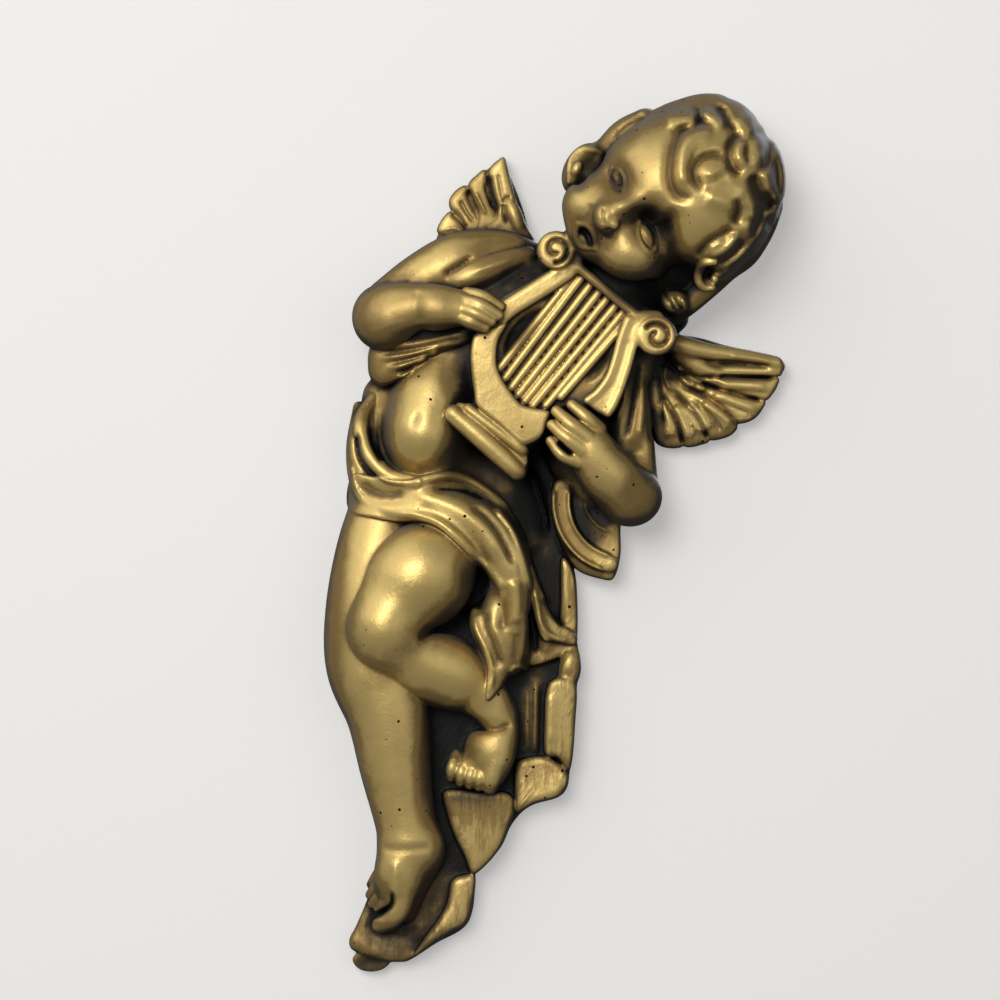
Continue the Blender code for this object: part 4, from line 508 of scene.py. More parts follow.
def lyre(clay):
    top = 34
    # the plate behind the strings
    clay.slab([(-8, 53), (-9.6, 47), (-9, 39), (-8, 33), (-13, 31.6), (-17.6, 30.4), (-17.6, 27.4),
        (-6, 16.6), (4, 7.6), (8, 8), (9.6, 12), (10.4, 17), (13.4, 20.5), (16.2, 26), (22, 31), (30, 30),
        (36, 28.6), (40.6, 36), (43.4, 46), (46, 56), (45, 62.4), (26.6, 77.6), (18, 77), (10, 72.6),
        (0, 66.6), (-4, 60)], top - 3.9, blend=0.6, edge=1, steps=4)
    clay.hollow((7.6, 56.4, top + 1), (4.4, 12.6, 8), 0.8, turn=-40)
    clay.hollow((32.6, 45, top + 1), (3.4, 9.4, 7), 0.8, turn=-34)
    # the left arm of the lyre, its scroll, and the crescent at its foot
    clay.band([(23.6, 87), (25, 82.4), (23.2, 77.4), (17, 72.8), (9.4, 68), (2.4, 63.4), (-2, 59)], 3.3,
        top, edge=2)
    clay.slab([(-7.6, 56), (-9.8, 50), (-9.6, 43), (-8.6, 36), (-7.4, 31), (0, 24.6), (7, 18.6),
        (11.6, 19.4), (14.4, 22), (15.8, 26), (16.6, 29.4), (11.5, 30.6), (7, 32), (3.2, 36.6), (0.2, 41.4),
        (-1.2, 46), (-0.6, 53), (2, 59)], top + 0.9, blend=0.5, edge=1.6)
    for centre, radius in (((18.8, 83.2), 6.5), ((52, 54.9), 6.8)):
        turn = np.linspace(0, math.tau, 12, endpoint=False)
        roundOutline = zip(centre[0] + radius * np.cos(turn), centre[1] + radius * np.sin(turn))
        clay.slab(list(roundOutline), top + 1.6, blend=0.5, edge=2.4)
    clay.band([(42.6, 55), (44.4, 58.6), (48, 60.6), (52, 60.4)], 2.8, top + 0.6, edge=1.6)
    clay.slab([(42, 61.6), (39.6, 55), (37.6, 48), (35.4, 41.6), (31.8, 36.6), (28.4, 33.6), (29.2, 31.6),
        (35.2, 27.8), (38.2, 30), (40.8, 36), (43.4, 43), (45.2, 50), (46.6, 56)], top + 0.3, blend=0.4,
        edge=1.8)
    for points in (((43, 60.4), (40.6, 54.6), (38.6, 47.4), (36.4, 41), (32.8, 36), (29.2, 33.2)),
            ((46, 56.6), (44.2, 50), (42.2, 43), (39.8, 36), (37.8, 31.6), (36, 28.8))):
        clay.limb([(x, z, top - 0.3, 1.1) for x, z in points], blend=1.2)
    clay.limb([(26.2, 77.6, top - 1.4, 1.7), (35, 70.2, top - 1.4, 1.6), (45, 62, top - 1.4, 1.7)],
        blend=0.8)
    for x, z, u, w in lyreStrings:
        clay.limb([(x, z, top - 3.2, 1.5), (u, w, top - 3.2, 1.45)], blend=0.3, steps=1)
    # the foot: one broad bar and one narrow, below the crescent
    clay.slab([(-10.6, 31.6), (8, 18.4), (9.2, 15), (6.6, 12), (-13, 29.4)], top - 1.2, blend=0.4, edge=1)
    narrow, broad = top - 1.6, top - 2.2
    clay.limb([(-10.6, 30.4, narrow, 1.9), (-1.4, 23.4, top - 1.2, 2), (7.6, 16.6, narrow, 1.9)], blend=0.6)
    clay.limb([(-15.4, 28.6, broad, 3.2), (-4, 18.6, top - 1.6, 3.5), (5.8, 9.6, broad, 3.1)], blend=0.6)


def spirals(clay):  # the grooves that wind into the lyre's scrolls
    for centre, radius, start, way in (((18.6, 83.6), 4.7, 255, 1), ((52.4, 54.4), 4.9, 150, -1)):
        turn = np.radians(start + way * np.linspace(0, 430, 15))
        size = np.linspace(radius, 1, 15)
        clay.stroke(list(zip(centre[0] + size * np.cos(turn), centre[1] + size * np.sin(turn))), 0.75, -1.5,
            ends=0.1)


leftFeathers = (
    (((-5, 90), (-1, 95), (-2.6, 101), (-3.8, 106), (-3.6, 110.4), (0, 113.8), (1.6, 114), (3, 109),
      (5.4, 100), (9, 91), (10.6, 86)), 10.8),
    (((-8, 89), (-7.4, 95), (-9.4, 100), (-10.6, 105), (-8, 108.2), (-4.8, 110), (-3.4, 104),
      (-1.8, 98), (0, 90)), 9.8),
    (((-12, 88), (-13.4, 94), (-16.6, 97), (-16.8, 100.4), (-14, 103.8), (-10.8, 104.6), (-9.2, 99),
      (-7, 94), (-5, 88)), 9),
    (((-14, 86.6), (-20.6, 88.8), (-20, 92.6), (-16.6, 96.2), (-13.2, 94), (-10.6, 90.6),
      (-8, 86)), 9.2),
    (((-21.8, 83.6), (-21, 86.8), (-15, 87), (-8, 86.6), (-6, 82)), 7.6),
)


def leftWing(clay):
    clay.slab([(-20.4, 84), (-19.4, 91), (-15.6, 97.4), (-10, 104.4), (-3.6, 110.6), (2, 111), (9.8, 86),
        (-4, 82)], 8.2, blend=0.5, edge=2)
    for outline, top in leftFeathers:
        clay.slab(list(outline), top, blend=0.2, edge=2.4)
    clay.ball((5, 94.6, 9.4), (2.6, 6.4, 3.4), 0.3, turn=20)
    clay.limb([(-17, 84.6, 6, 2.6), (-8, 87, 6.4, 3), (6, 87, 6.4, 3.4)], blend=1.5)


# the cuts and ridges on the feathers: path, width and height
leftCuts = (
    (((-3.6, 108.6), (-2.6, 102), (-0.4, 95.6)), 1.1, -0.8),
    (((-11, 103.6), (-9.6, 99.6), (-7.4, 95.4)), 1.1, -0.8),
    (((-16.4, 95.8), (-13.6, 93.2), (-10.8, 90)), 0.9, -0.7),
    (((-8.4, 103), (-6.4, 99), (-4.6, 95)), 0.5, 0.8),
    (((-13.4, 100), (-11.2, 96), (-8.6, 92.4)), 0.6, -0.9),
    (((-5.2, 106), (-4, 101), (-2.2, 96.6)), 0.5, -0.8),
    (((1, 99), (1.8, 100.4), (3.6, 101)), 0.6, -0.9),
    (((1.2, 99), (1.2, 96), (2.4, 92)), 0.6, -1),
    (((-0.6, 109), (0.4, 103), (1, 100)), 0.5, -0.5),
    (((-18.6, 90), (-15, 90.6), (-12, 89)), 0.5, 0.5),
)


def leftQuills(clay):
    for path, width, amount in leftCuts:
        clay.stroke(path, width, amount)


rightFeathers = (
    (((54, 50), (58, 54.6), (66, 54.2), (76, 51.4), (91, 48.2), (94.8, 45.4), (94.2, 42.6),
      (92, 41), (80, 40.6), (70, 41), (60, 43)), 10.4),
    (((60, 44), (72, 43), (82, 42), (92.2, 41), (92.6, 38.4), (90.8, 35.2), (88, 33), (80, 33.4),
      (70, 37)), 9.8),
    (((60, 42), (72, 39), (80, 35.6), (88, 33.4), (87.6, 30.4), (84.4, 26.8), (79, 25.4), (72, 28),
      (62, 35)), 9.2),
    (((56, 41), (66, 37), (74, 30.6), (79, 25.4), (78, 22.4), (74.8, 20.6), (69.6, 20), (64.6, 24),
      (57, 33)), 8.6),
    (((53, 40), (60, 35), (66.6, 26), (69.8, 20.2), (67.2, 18.4), (61.4, 17.8), (57, 23),
      (53, 31)), 8.2),
    (((50, 50), (54, 44), (58, 33), (60, 26), (61.2, 18), (52.6, 18.4), (50, 27)), 7.8),
)


def rightWing(clay):
    clay.slab([(46, 52), (56, 55), (62, 50), (64, 40), (56, 34), (53, 24), (47.6, 26), (47, 40)], 7.4,
        blend=0.5, edge=1.6)
    for outline, top in rightFeathers:
        clay.slab(list(outline), top, blend=0.3, edge=2.8)
    clay.limb([(55, 53, 13, 3.2), (62, 51.2, 13.4, 3.2), (70, 49.4, 12.4, 2.7), (80, 48.2, 11.2, 2.2),
        (92, 45.8, 9.2, 2)], blend=0.8)
    clay.limb([(60, 49, 11, 3), (65.6, 45, 10.4, 3), (72, 41.6, 9.4, 2.4)], blend=1.5)
    clay.ball((66.8, 37.8, 8.6), (2.6, 2.2, 2.6), 1)


rightCuts = (
    (((71, 45.4), (80, 45.2), (91, 44.4)), 0.9, -1.3),
    (((66, 41.2), (80, 40.8), (92.4, 40.4)), 0.9, -1.3),
    (((64, 39.8), (78, 35.6), (88.4, 33)), 0.9, -1.3),
    (((60, 38.6), (72, 32.4), (79.6, 25.2)), 0.9, -1.3),
    (((57, 37), (65, 28.6), (70, 19.6)), 0.9, -1.3),
    (((53.4, 36), (58.6, 27), (61.4, 17.6)), 0.9, -1.3),
    (((72, 38.8), (80, 38.4), (90, 37.6)), 2.3, 1.3),
    (((70, 35.4), (78, 32.6), (86, 30)), 2.3, 1.3),
    (((67, 33), (73, 28.4), (77.4, 24.4)), 2.3, 1.3),
    (((62, 33), (66.4, 27), (69.4, 22.6)), 2.3, 1.3),
    (((57.4, 32), (61, 25.6), (64.2, 20.4)), 2.3, 1.3),
    (((53.6, 34), (56, 26), (57, 20)), 2.3, 1.3),
    (((75, 36.6), (84, 36), (90, 35.4)), 0.7, -0.5),
    (((72, 33.2), (79, 30.4), (85, 28)), 0.7, -0.5),
    (((64, 34), (70, 28), (74, 22.6)), 0.7, -0.5),
    (((52, 44), (53.6, 34), (54.4, 24)), 0.7, -0.8),
    (((56, 47), (55, 41), (57, 36)), 0.7, 0.8),
    (((59, 45), (60.6, 41), (64, 37.4)), 0.7, 0.8),
    (((53, 46), (57.6, 44), (62, 40)), 0.7, -0.7),
    (((76, 48), (85, 47.2), (91.6, 45.8)), 0.7, 0.5),
)


def rightQuills(clay):
    for path, width, amount in rightCuts:
        clay.stroke(path, width, amount)


def sash(clay):  # the cloth wound round the hips
    clay.limb([(-41, 33, 9, 3.6), (-45, 25, 12, 4.6), (-45.6, 17, 13, 5.2), (-43, 8, 15, 5.6),
        (-37, 2, 18, 5.6), (-26, 1, 20, 6)], blend=2)
    clay.limb([(-42.4, 34, 12, 1.9), (-46.2, 27, 16, 2.6), (-45.6, 19.4, 19, 2.9), (-42, 12.6, 21.6, 2.9),
        (-36.4, 7.8, 23.6, 2.6), (-28, 6, 25, 2.2)], blend=0.8)
    clay.limb([(-47, 31, 9, 2), (-49, 18, 11, 2.3), (-47.8, 7, 14, 2.7), (-44, -0.2, 17.4, 3),
        (-37, -3.2, 21.4, 3), (-28, -2.6, 24.4, 2.6)], blend=0.8)
    clay.limb([(-40.4, 30, 14, 1), (-39.8, 21, 16, 1), (-38.4, 14.4, 18.4, 1), (-35, 10, 21, 1),
        (-29, 8.4, 23, 0.9)], blend=0.5)


def sashFolds(clay):
    clay.stroke([(-47, 5.6), (-42.6, 2.4), (-37, 1.4), (-31, 2.6)], 1.8, -3.6)
    clay.stroke([(-47.6, 23), (-47, 15), (-43.8, 9.4), (-40, 6.4)], 0.9, -1.6)
    clay.stroke([(-43.4, 25), (-42.2, 18), (-39, 12)], 0.8, -1.2)
    clay.stroke([(-49.8, 12), (-48.2, 5), (-45, 0.4)], 0.6, 0.8)


def drape(clay):  # the end of the cloth, over the thigh and down between the legs
    clay.ball((-15, -7, 18), (17, 9.5, 11), 3, turn=-28)
    clay.limb([(-36, 0, 16, 6), (-18, -3, 21, 6), (-6, -9, 22, 6.4), (1, -19, 22, 6), (4.4, -30, 20, 5.4),
        (4.6, -42, 18, 5), (3.2, -54, 16, 4.4)], blend=3)
    clay.limb([(0, -30, 16, 4), (-1.4, -37, 17, 4.6), (-2.4, -43, 18.5, 4.4), (0.4, -51, 18.6, 4.2),
        (-0.6, -58, 18, 3), (-2.6, -63.6, 17, 1.8)], blend=2)
    clay.limb([(-9, -22, 2, 7), (-9, -34, 2, 7)], blend=2)
    clay.limb([(-8.4, -38, 16, 2.2), (-7.4, -44, 18, 2.2), (-4.2, -51, 18.6, 2), (-3.2, -58, 17.6, 1.6)],
        blend=2)
    clay.slab([(8, -16), (11, -22), (13.6, -30), (17, -37), (22, -44), (22.6, -50), (17, -53.6), (9, -55),
        (6, -48), (6, -30)], 10.5, blend=1.5, edge=2)
    clay.cover([(-50.6, -3), (-42, -6), (-34, -7.2), (-27, -6.6), (-21, -8.4), (-14.4, -14), (-7.8, -21),
        (-3.6, -27.6), (-4.6, -32), (-9.6, -36.6), (-9.6, -42), (-6.4, -49), (-4.2, -57), (-4.6, -66.8),
        (0, -63), (3.6, -58), (6, -56.2), (9.4, -56.6), (9.6, -50), (9.6, -40), (10.2, -28), (9, -14),
        (4, -4), (-3, 2), (-10, 6.6), (-17, 8.6), (-25, 7.4), (-34, 6.6), (-43, 8), (-49.6, 8)], 1.4,
        slack=2.5, blend=0.5, edge=1.4)
    clay.slab([(10.4, -22), (13.4, -29), (16.6, -35.6), (20, -41), (25, -44.6), (25, -48.2), (20, -47.4),
        (14.6, -45.6), (12.4, -41), (10.6, -33)], 17, blend=0.8, edge=1.6,
        shape=lambda x, z, inside: -0.35 * (x - 15))
    clay.limb([(22.6, -60.6, 8, 3), (23.2, -57, 9.4, 3.7), (23.6, -53.2, 9.4, 3.2), (24, -49.4, 8.4, 2)],
        blend=1.5)


foldStrokes = (
    (((-30, 5.2), (-24, 6.8), (-17, 8), (-11, 6.8), (-5, 3.2), (0, -0.8), (4, -5)), 1.7, 2.3),
    (((-23, 3.6), (-15, 3.2), (-9, 1.6), (-3, -1.6), (0.6, -5)), 1.1, -1.9),
    (((-9, 0.6), (-3.4, -1.6), (1.2, -5.6), (4.8, -11), (7.4, -18), (9.2, -25),
      (11, -33)), 1.5, 2.1),
    (((-11, -1.8), (-5.8, -4.8), (-1.4, -9.6), (2.2, -16), (4.8, -23)), 1.3, -1.5),
    (((-31, 1.2), (-22, 0.8), (-14, -2.2), (-8, -7.4), (-3.6, -14), (-0.6, -22)), 3, 1.2),
    (((-38, -6), (-29.4, -5.2), (-21.8, -6.8), (-15, -11.2), (-8.6, -17.6), (-2.8, -24.8),
      (0.4, -30.6), (1.2, -37)), 1.6, 2),
    (((4.6, -26), (5.4, -34), (5.2, -42)), 2.2, 1.3),
    (((0.6, -28), (1.4, -36), (0.8, -44)), 1.8, -1.2),
    (((-8.6, -37), (-8, -43), (-4.6, -50), (-2.6, -57), (-3.4, -65.4)), 0.9, 1.2),
    (((-4.4, -36), (-4.8, -42), (-1.8, -49), (0.6, -57)), 1.7, -1.5),
    (((8, -36), (8.2, -45), (7.8, -54)), 1.1, 0.8),
    (((5.6, -44), (5.4, -50), (4.8, -54)), 1.1, -0.8),
    (((3.4, -58), (5.2, -55.8), (9.2, -55.8)), 0.8, 1),
    (((11.2, -26), (12.4, -34), (14, -42), (18, -45.6), (24, -47.2)), 0.9, 1.2),
    (((14.4, -32), (17, -38), (22, -43)), 0.9, -0.8),
    (((11.4, -30), (13, -38), (15, -46), (15.6, -52)), 1.6, 1),
    (((9.6, -36), (11.4, -44), (12, -52)), 1.2, -1.2),
)


def folds(clay):
    for path, width, amount in foldStrokes:
        clay.stroke(path, width, amount)


def neck(clay):
    clay.limb([(34, 62, 8, 12), (46, 70, 10, 12), (56, 80, 14, 14)], blend=4)
    clay.ball((56, 61, 6), (7, 6, 10), 3)
    clay.limb([(25, 81, 12, 5), (31, 77, 15, 6), (40, 71, 15, 7)], blend=3)


def head(clay):
    clay.ball((64.4, 101.8, 25), (27.6, 32.4, 31.5), 4, turn=-30)
    clay.limb([(53, 126.4, 27, 4), (60, 128.4, 29, 4.6), (69, 129.6, 27, 4.6), (77, 127, 27, 4.6)], blend=3)
    clay.ball((42.6, 96, 27), (20.4, 18.6, 24.4), 8, turn=40)
    clay.ball((53.2, 107.8, 36.6), (18.6, 17.6, 18), 9, turn=40)
    clay.ball((43.6, 83.4, 39), (12.2, 10.2, 13), 5, turn=-12)
    clay.ball((29.8, 98, 35.4), (9.2, 9, 11), 5)
    clay.ball((29.2, 90, 35), (7.4, 7.8, 9.4), 4)
    clay.ball((31, 84.6, 33), (6.6, 5.2, 8), 4, turn=-30)


def face(clay):
    # the hollows: each socket under its brow, the temple's foot, and round the mouth
    clay.push((39.6, 106.4), (4.6, 6.4), -4.2, turn=27)
    clay.push((50.4, 93.6), (7.4, 5.6), -3.6, turn=6)
    clay.push((48.4, 95), (4, 2.8), -2.2, turn=0)
    clay.push((50.6, 88.4), (4.2, 7), -3.4, turn=26)
    clay.stroke([(53.4, 97), (55.8, 91.6), (57.4, 85), (58.6, 78), (63, 73)], 4.6, -3.8, ends=0.4)
    clay.push((61.5, 75.6), (8.5, 5.4), -4.4, turn=20)
    clay.push((28.6, 87.6), (4.6, 6.8), -3.2, turn=29)
    clay.stroke([(31.4, 99.4), (30.4, 96), (30.8, 92)], 2.2, -0.8, ends=0.7)
    clay.stroke([(36.4, 89.2), (36, 86), (33.8, 82)], 2.2, -0.7, ends=0.7)
    # the eyes, with a lid on each side
    clay.ball((39.3, 107.1, clay.front(39.3, 107.1) - 0.4), (1.7, 2.9, 2.6), 0.5, turn=27)
    clay.ball((48.9, 87.9, clay.front(48.9, 87.9) - 0.2), (2.1, 4.4, 3.2), 0.5, turn=24)
    clay.lay([(46.6, 92.8), (49.4, 92), (51.6, 88.4), (51.9, 83.8)], 0.8, sink=0.1, blend=0.7)
    clay.lay([(46.6, 92.8), (46.1, 89.2), (47.6, 84.8), (50.4, 82.6), (51.9, 83.8)], 0.7, sink=0.1,
        blend=0.7)
    clay.lay([(37.2, 110.6), (39.8, 110), (41.6, 107), (41.8, 103.6)], 0.75, sink=0.1, blend=0.6)
    clay.lay([(37.2, 110.6), (36.8, 107.4), (38.4, 104.4), (41.8, 103.6)], 0.65, sink=0.1, blend=0.6)
    # the nose: its bridge, tip and near wing
    clay.push((41.4, 98.6), (5.4, 4.2), 3.6, turn=28)
    clay.push((36.4, 95), (5.6, 5.6), 2.2, turn=28)
    clay.ball((35.4, 94.2, clay.front(35.4, 94.2) - 1.8), (4.2, 5.2, 4.8), 2, turn=10)
    clay.ball((38, 92, clay.front(38, 92) - 0.6), (1.8, 2, 1.8), 1)
    clay.stroke([(34.9, 97.8), (34.4, 94.6), (34.6, 91.4)], 0.6, -0.7, ends=0.4)
    clay.hollow((36.2, 89.9, clay.front(36.2, 89.9) + 0.4), (1.1, 0.8, 1.3), 0.5)
    # the open mouth
    clay.lay([(26.2, 92), (29.2, 91.6), (31.4, 88.4), (31.8, 84.2)], 1, sink=0.4, blend=0.9)
    clay.lay([(26.2, 92), (25.4, 88.4), (27.2, 84.8), (31.8, 83.8)], 1.1, sink=0.3, blend=0.9)
    clay.hollow((28.7, 87.7, clay.front(28.7, 87.7) + 0.5), (1.9, 3.4, 2.4), 0.8, turn=27)
    clay.ball((27.9, 87, clay.front(27.9, 87) + 0.1), (1.1, 2.3, 1.4), 0.5, turn=27)


def ears(clay):
    clay.ball((28, 110.2, 15), (6.6, 9.6, 12), 1.5, turn=-30)
    clay.push((29.6, 112.4), (2.8, 4), -4.2, turn=-40)
    clay.push((27, 106.6), (1.8, 2.6), -2.4, turn=-30)
    clay.lay([(23, 106), (23.8, 113), (28, 117), (33.6, 115.8)], 1.3, sink=0, blend=0.5)
    clay.ball((25.6, 110.6, clay.front(25.6, 110.6)), (1.7, 2.6, 1.8), 0.8, turn=-30)
    clay.ball((69.2, 75, clay.front(69.2, 75) - 1.4), (4.2, 4.8, 3.6), 1)
    clay.push((69.4, 75.2), (1.9, 2.4), -3.8)
    clay.lay([(71.4, 79.4), (68, 79), (66.2, 76), (66.2, 73), (68, 70.9), (70.6, 70.8)], 1.5, sink=-0.5,
        blend=0.4, ends=0.8)
    clay.ball((71.6, 73.8, clay.front(71.6, 73.8)), (1.3, 1.7, 1.6), 0.6)


# each curl and lock: its path, width and height (under 0 for what is cut in)
hairLocks = (
    (((72, 122.6), (66, 121.6), (62, 118.4), (60.4, 113), (60.4, 107.6), (62, 104)), 3, 1.7),
    (((74, 126), (67.6, 125.6), (61.6, 123.6), (58.2, 118.4), (56.9, 112), (57, 106), (58.8, 102),
      (62, 101), (65.4, 102.8)), 1.9, -2.5),
    (((72, 118.6), (66.6, 117.6), (63.6, 113.6), (62.6, 108.6)), 0.6, -0.7),
    (((75.6, 114.4), (70.4, 115), (66.4, 113), (64.6, 109.6), (65.6, 105.8),
      (68.4, 103)), 1.6, -2.6),
    (((76, 111.8), (72, 110.4), (69, 107.4)), 1.6, 1.5),
    (((76.4, 107.6), (72, 105.6), (69, 103.2)), 1.5, -1),
    (((68.6, 101.6), (73, 99.6), (78, 98.6), (81.6, 101)), 2.6, 1.2),
    (((81, 123.4), (77.2, 119.4), (76.2, 114.6), (78, 110.4), (81.6, 107.8)), 1.6, -2.8),
    (((80.6, 120), (80, 115.4), (81.2, 111)), 1.5, 1.6),
    (((84.8, 120.6), (85.8, 116), (84.4, 111)), 1.6, 1.1),
    (((82.9, 119), (82.6, 115), (83.4, 111.8)), 0.8, -0.8),
    (((84, 124), (88.2, 121), (89.4, 116), (88.4, 111), (85.8, 108.4)), 1.2, -1.4),
    (((83.6, 108.6), (86, 104.4), (88.4, 100.6), (90.4, 96)), 2, -2.6),
    (((88, 111), (90, 105), (92.4, 98.6)), 1.6, 1.1),
    (((80.4, 106), (82, 101), (84, 96.6), (84.2, 92.6)), 2, 1.4),
    (((79.2, 101), (79.6, 96), (78, 91.4)), 1.6, -1.9),
    (((87, 98), (86.6, 92.4), (84, 87.2)), 1.5, -1.7),
    (((82, 92.4), (83.2, 90), (83.6, 87.4)), 1.5, 1),
    (((79, 89), (77.2, 85.4), (73.6, 82.4), (69.4, 81.4)), 1.2, 1.7),
    (((81.4, 86.4), (78, 81.8), (73, 78.8)), 1.2, -1.5),
    (((78.6, 91), (74, 88.4), (69, 85.2), (65, 80.6)), 1.6, -1.5),
    (((74.6, 86.6), (72, 84.8), (69.4, 83.6)), 0.9, 0.8),
    (((54.6, 126.4), (60, 127.4), (66, 125.4)), 3.2, 1.4),
    (((67, 128.6), (70.6, 127.2), (75, 124.6)), 2, 1.6),
    (((56, 122.8), (60.6, 123.4), (65.4, 122.6)), 1.3, -0.9),
    (((65.6, 131), (66.2, 127.8), (67.6, 125.8)), 1.2, -1.5),
    (((73.4, 131.6), (75.4, 127), (79, 122.6)), 1.5, -1.7),
    (((79.6, 128.4), (82.4, 124.8), (85, 122.8)), 1.8, 0.9),
    (((83, 128), (90, 121), (92.8, 111), (92.4, 101)), 1.4, -0.8),
    (((90.4, 121.6), (94, 111), (93.8, 101)), 1.4, 0.7),
    (((91, 95.4), (87.4, 87), (81.6, 80.6), (75.6, 76)), 1.4, -1.2),
    (((88.6, 94), (84.4, 85.4), (79, 80.4), (74.6, 77.6)), 1.4, 0.8),
    (((85, 81.6), (79, 75.6), (72, 70.6), (66, 67)), 1.2, -0.9),
    (((80.6, 79), (75.6, 75), (72, 72)), 1.2, 0.7),
    (((68, 119.6), (73, 120.4), (77, 123)), 0.7, -0.5),
    (((88, 108), (90.4, 102), (90.6, 97)), 0.6, -0.6),
    (((81, 103), (82.4, 98.6), (82.6, 94.6)), 0.6, -0.6),
    (((62, 129.4), (68, 131.6), (75, 130.4)), 1, -0.6),
    (((70, 134), (79, 132), (86, 126)), 1.8, 0.7),
    (((74, 135), (82, 131.6), (88.6, 125)), 1, -0.7),
    (((86, 117), (88.4, 109), (88.6, 101)), 1.8, 0.8),
    (((91.6, 118), (95, 108), (94.6, 99)), 1.6, 0.7),
    (((89, 92), (84.6, 83.6), (78, 77.4)), 1.8, 0.7),
)


def hair(clay):
    clay.fill([(60, 131), (58.6, 124), (58.4, 115), (58.4, 107), (60.6, 102.4), (66, 103.6), (70.6, 99.8),
        (77, 98.8), (81, 98), (80.6, 92), (77, 87), (72, 82.6), (67, 77), (70, 66), (84, 72), (96, 86),
        (102, 104), (98, 122), (84, 136), (70, 142)], 1.3, edge=6.5)
    for path, width, amount in hairLocks:
        clay.stroke(path, width, amount, ends=0.3)
    for x, z in ((80.4, 112.6), (75.6, 127.8)):
        clay.push((x, z), (0.8, 0.8), -1.1)
    clay.soften(0.6)


def lowLocks(clay):  # the locks above the far ear and along the nape
    clay.limb([(36.4, 116, 13, 5.4), (42, 121.4, 15, 5.8), (48.6, 125.2, 17, 5.4)], blend=2)
    clay.limb([(42, 122, 18, 3.6), (48.4, 126.4, 20, 3.8)], blend=1)
    clay.stroke([(37, 120), (42, 125), (49, 128.4)], 0.7, -0.8)
    clay.limb([(89.2, 98, 20, 5), (87, 91.6, 20, 5), (83.6, 85.4, 21, 5), (80.6, 81.6, 22, 5),
        (75.2, 77.8, 21, 5), (69.4, 72.6, 20, 5), (62.8, 66.8, 19, 4.8), (58.4, 62.6, 18, 4)], blend=2)
    clay.ball((58.2, 66, 24), (4.8, 4.4, 6), 1.6)
    for i in range(4):
        clay.stroke([(55 + 1.8 * i, 69.4 - 0.6 * i), (56.4 + 1.6 * i, 66), (58.6 + 1.2 * i, 63)], 0.6,
            0.7 if i % 2 else -0.8)


def core(clay):  # fills what the deepest dents leave hollow inside, well behind the front
    for x, z, radius, top in ((50.6, 94, 6, 14), (34.6, 111.4, 5, 13), (69.4, 75.2, 5, 34),
            (85.2, 41.8, 3.6, 6.8), (88.8, 41.2, 3, 6.6), (14, 20.4, 4, 9), (18.2, 7.8, 3, 7)):
        clay.ball((x, z, 0), (radius, radius, top), 0.3)


def sculpt(grain):
    clay = Clay(grain)
    clay.group((backing, stub), soft=0.4)
    clay.group((leftWing,), soft=0.2, finish=(leftQuills,))
    clay.group((rightWing,), soft=0.2, finish=(rightQuills,))
    clay.group((torso,), soft=1.0, blend=1.5, finish=(armFolds,))
    clay.group((cape,), soft=0.3, finish=(capeHems,))
    clay.group((shoulder,), soft=0.5, blend=0.8, finish=(shoulderFolds,))
    clay.group((neck,), soft=0.8, blend=2)
    clay.group((standingLeg,), soft=0.8, blend=1, finish=(standingToes,))
    clay.group((sleeve,), soft=0.4, finish=(sleeveFolds,))
    clay.group((head,), soft=0.8, finish=(hair, face, ears, lowLocks))
    clay.group((sash,), soft=0.3, finish=(sashFolds,))
    clay.group((crossedLeg,), soft=0.8, finish=(crossedToes,))
    drape(clay)
    folds(clay)
    clay.stroke([(10.8, 10), (13, 3), (15, -4), (16, -11)], 0.5, 1.6)
    clay.group((lyre, spirals), soft=0.2)
    clay.group((rightArm,), soft=0.7, finish=(rightFingers,))
    clay.group((leftArm,), soft=0.7, finish=(leftFingers,))
    core(clay)
    # the sides run back to the wall, a little inside the front's outline
    behind = np.minimum.accumulate(clay.field[:, :, ::-1], axis=2)[:, :, ::-1]
    clay.field = smoothMin(clay.field, behind + 1.2, 1.5)
    clay.field = np.maximum(clay.field, -clay.axes[2][None, None, :])
    return clay


def sampleField(field, points, clay):  # the field between its grid points
    place = (points - np.array(lowCorner)) / clay.grain
    base = np.clip(np.floor(place).astype(int), 0, np.array(field.shape) - 2)
    part = np.clip(place - base, 0, 1)
    total = 0.0
    for corner in range(8):
        shift = np.array([(corner >> k) & 1 for k in range(3)])
        weight = np.prod(np.where(shift, part, 1 - part), axis=1)
        i, j, k = (base + shift).T
        total = total + weight * field[i, j, k]
    return total


def meshArray(items, name, width, kind=np.float32):  # one value of all a mesh's items
    found = np.empty(width * len(items), kind)
    items.foreach_get(name, found)
    return found.reshape(-1, width)


def clayMesh(clay):
    band = 3 * clay.grain
    grid = openvdb.FloatGrid(band)
    grid.copyFromArray(np.clip(clay.field, -band, band))
    points, _, quads = grid.convertToPolygons(isovalue=0.0, adaptivity=0.0)
    points = (points * clay.grain + np.array(lowCorner)).astype(np.float32)
    mesh = bpy.data.meshes.new("clay")
    mesh.vertices.add(len(points))
    mesh.vertices.foreach_set("co", points.ravel())
    mesh.loops.add(4 * len(quads))
    mesh.loops.foreach_set("vertex_index", quads.astype(np.int32).ravel())
    mesh.polygons.add(len(quads))
    mesh.polygons.foreach_set("loop_start", np.arange(0, 4 * len(quads), 4, dtype=np.int32))
    mesh.polygons.foreach_set("loop_total", np.full(len(quads), 4, np.int32))
    mesh.update(calc_edges=True)
    mesh.validate()
    return mesh


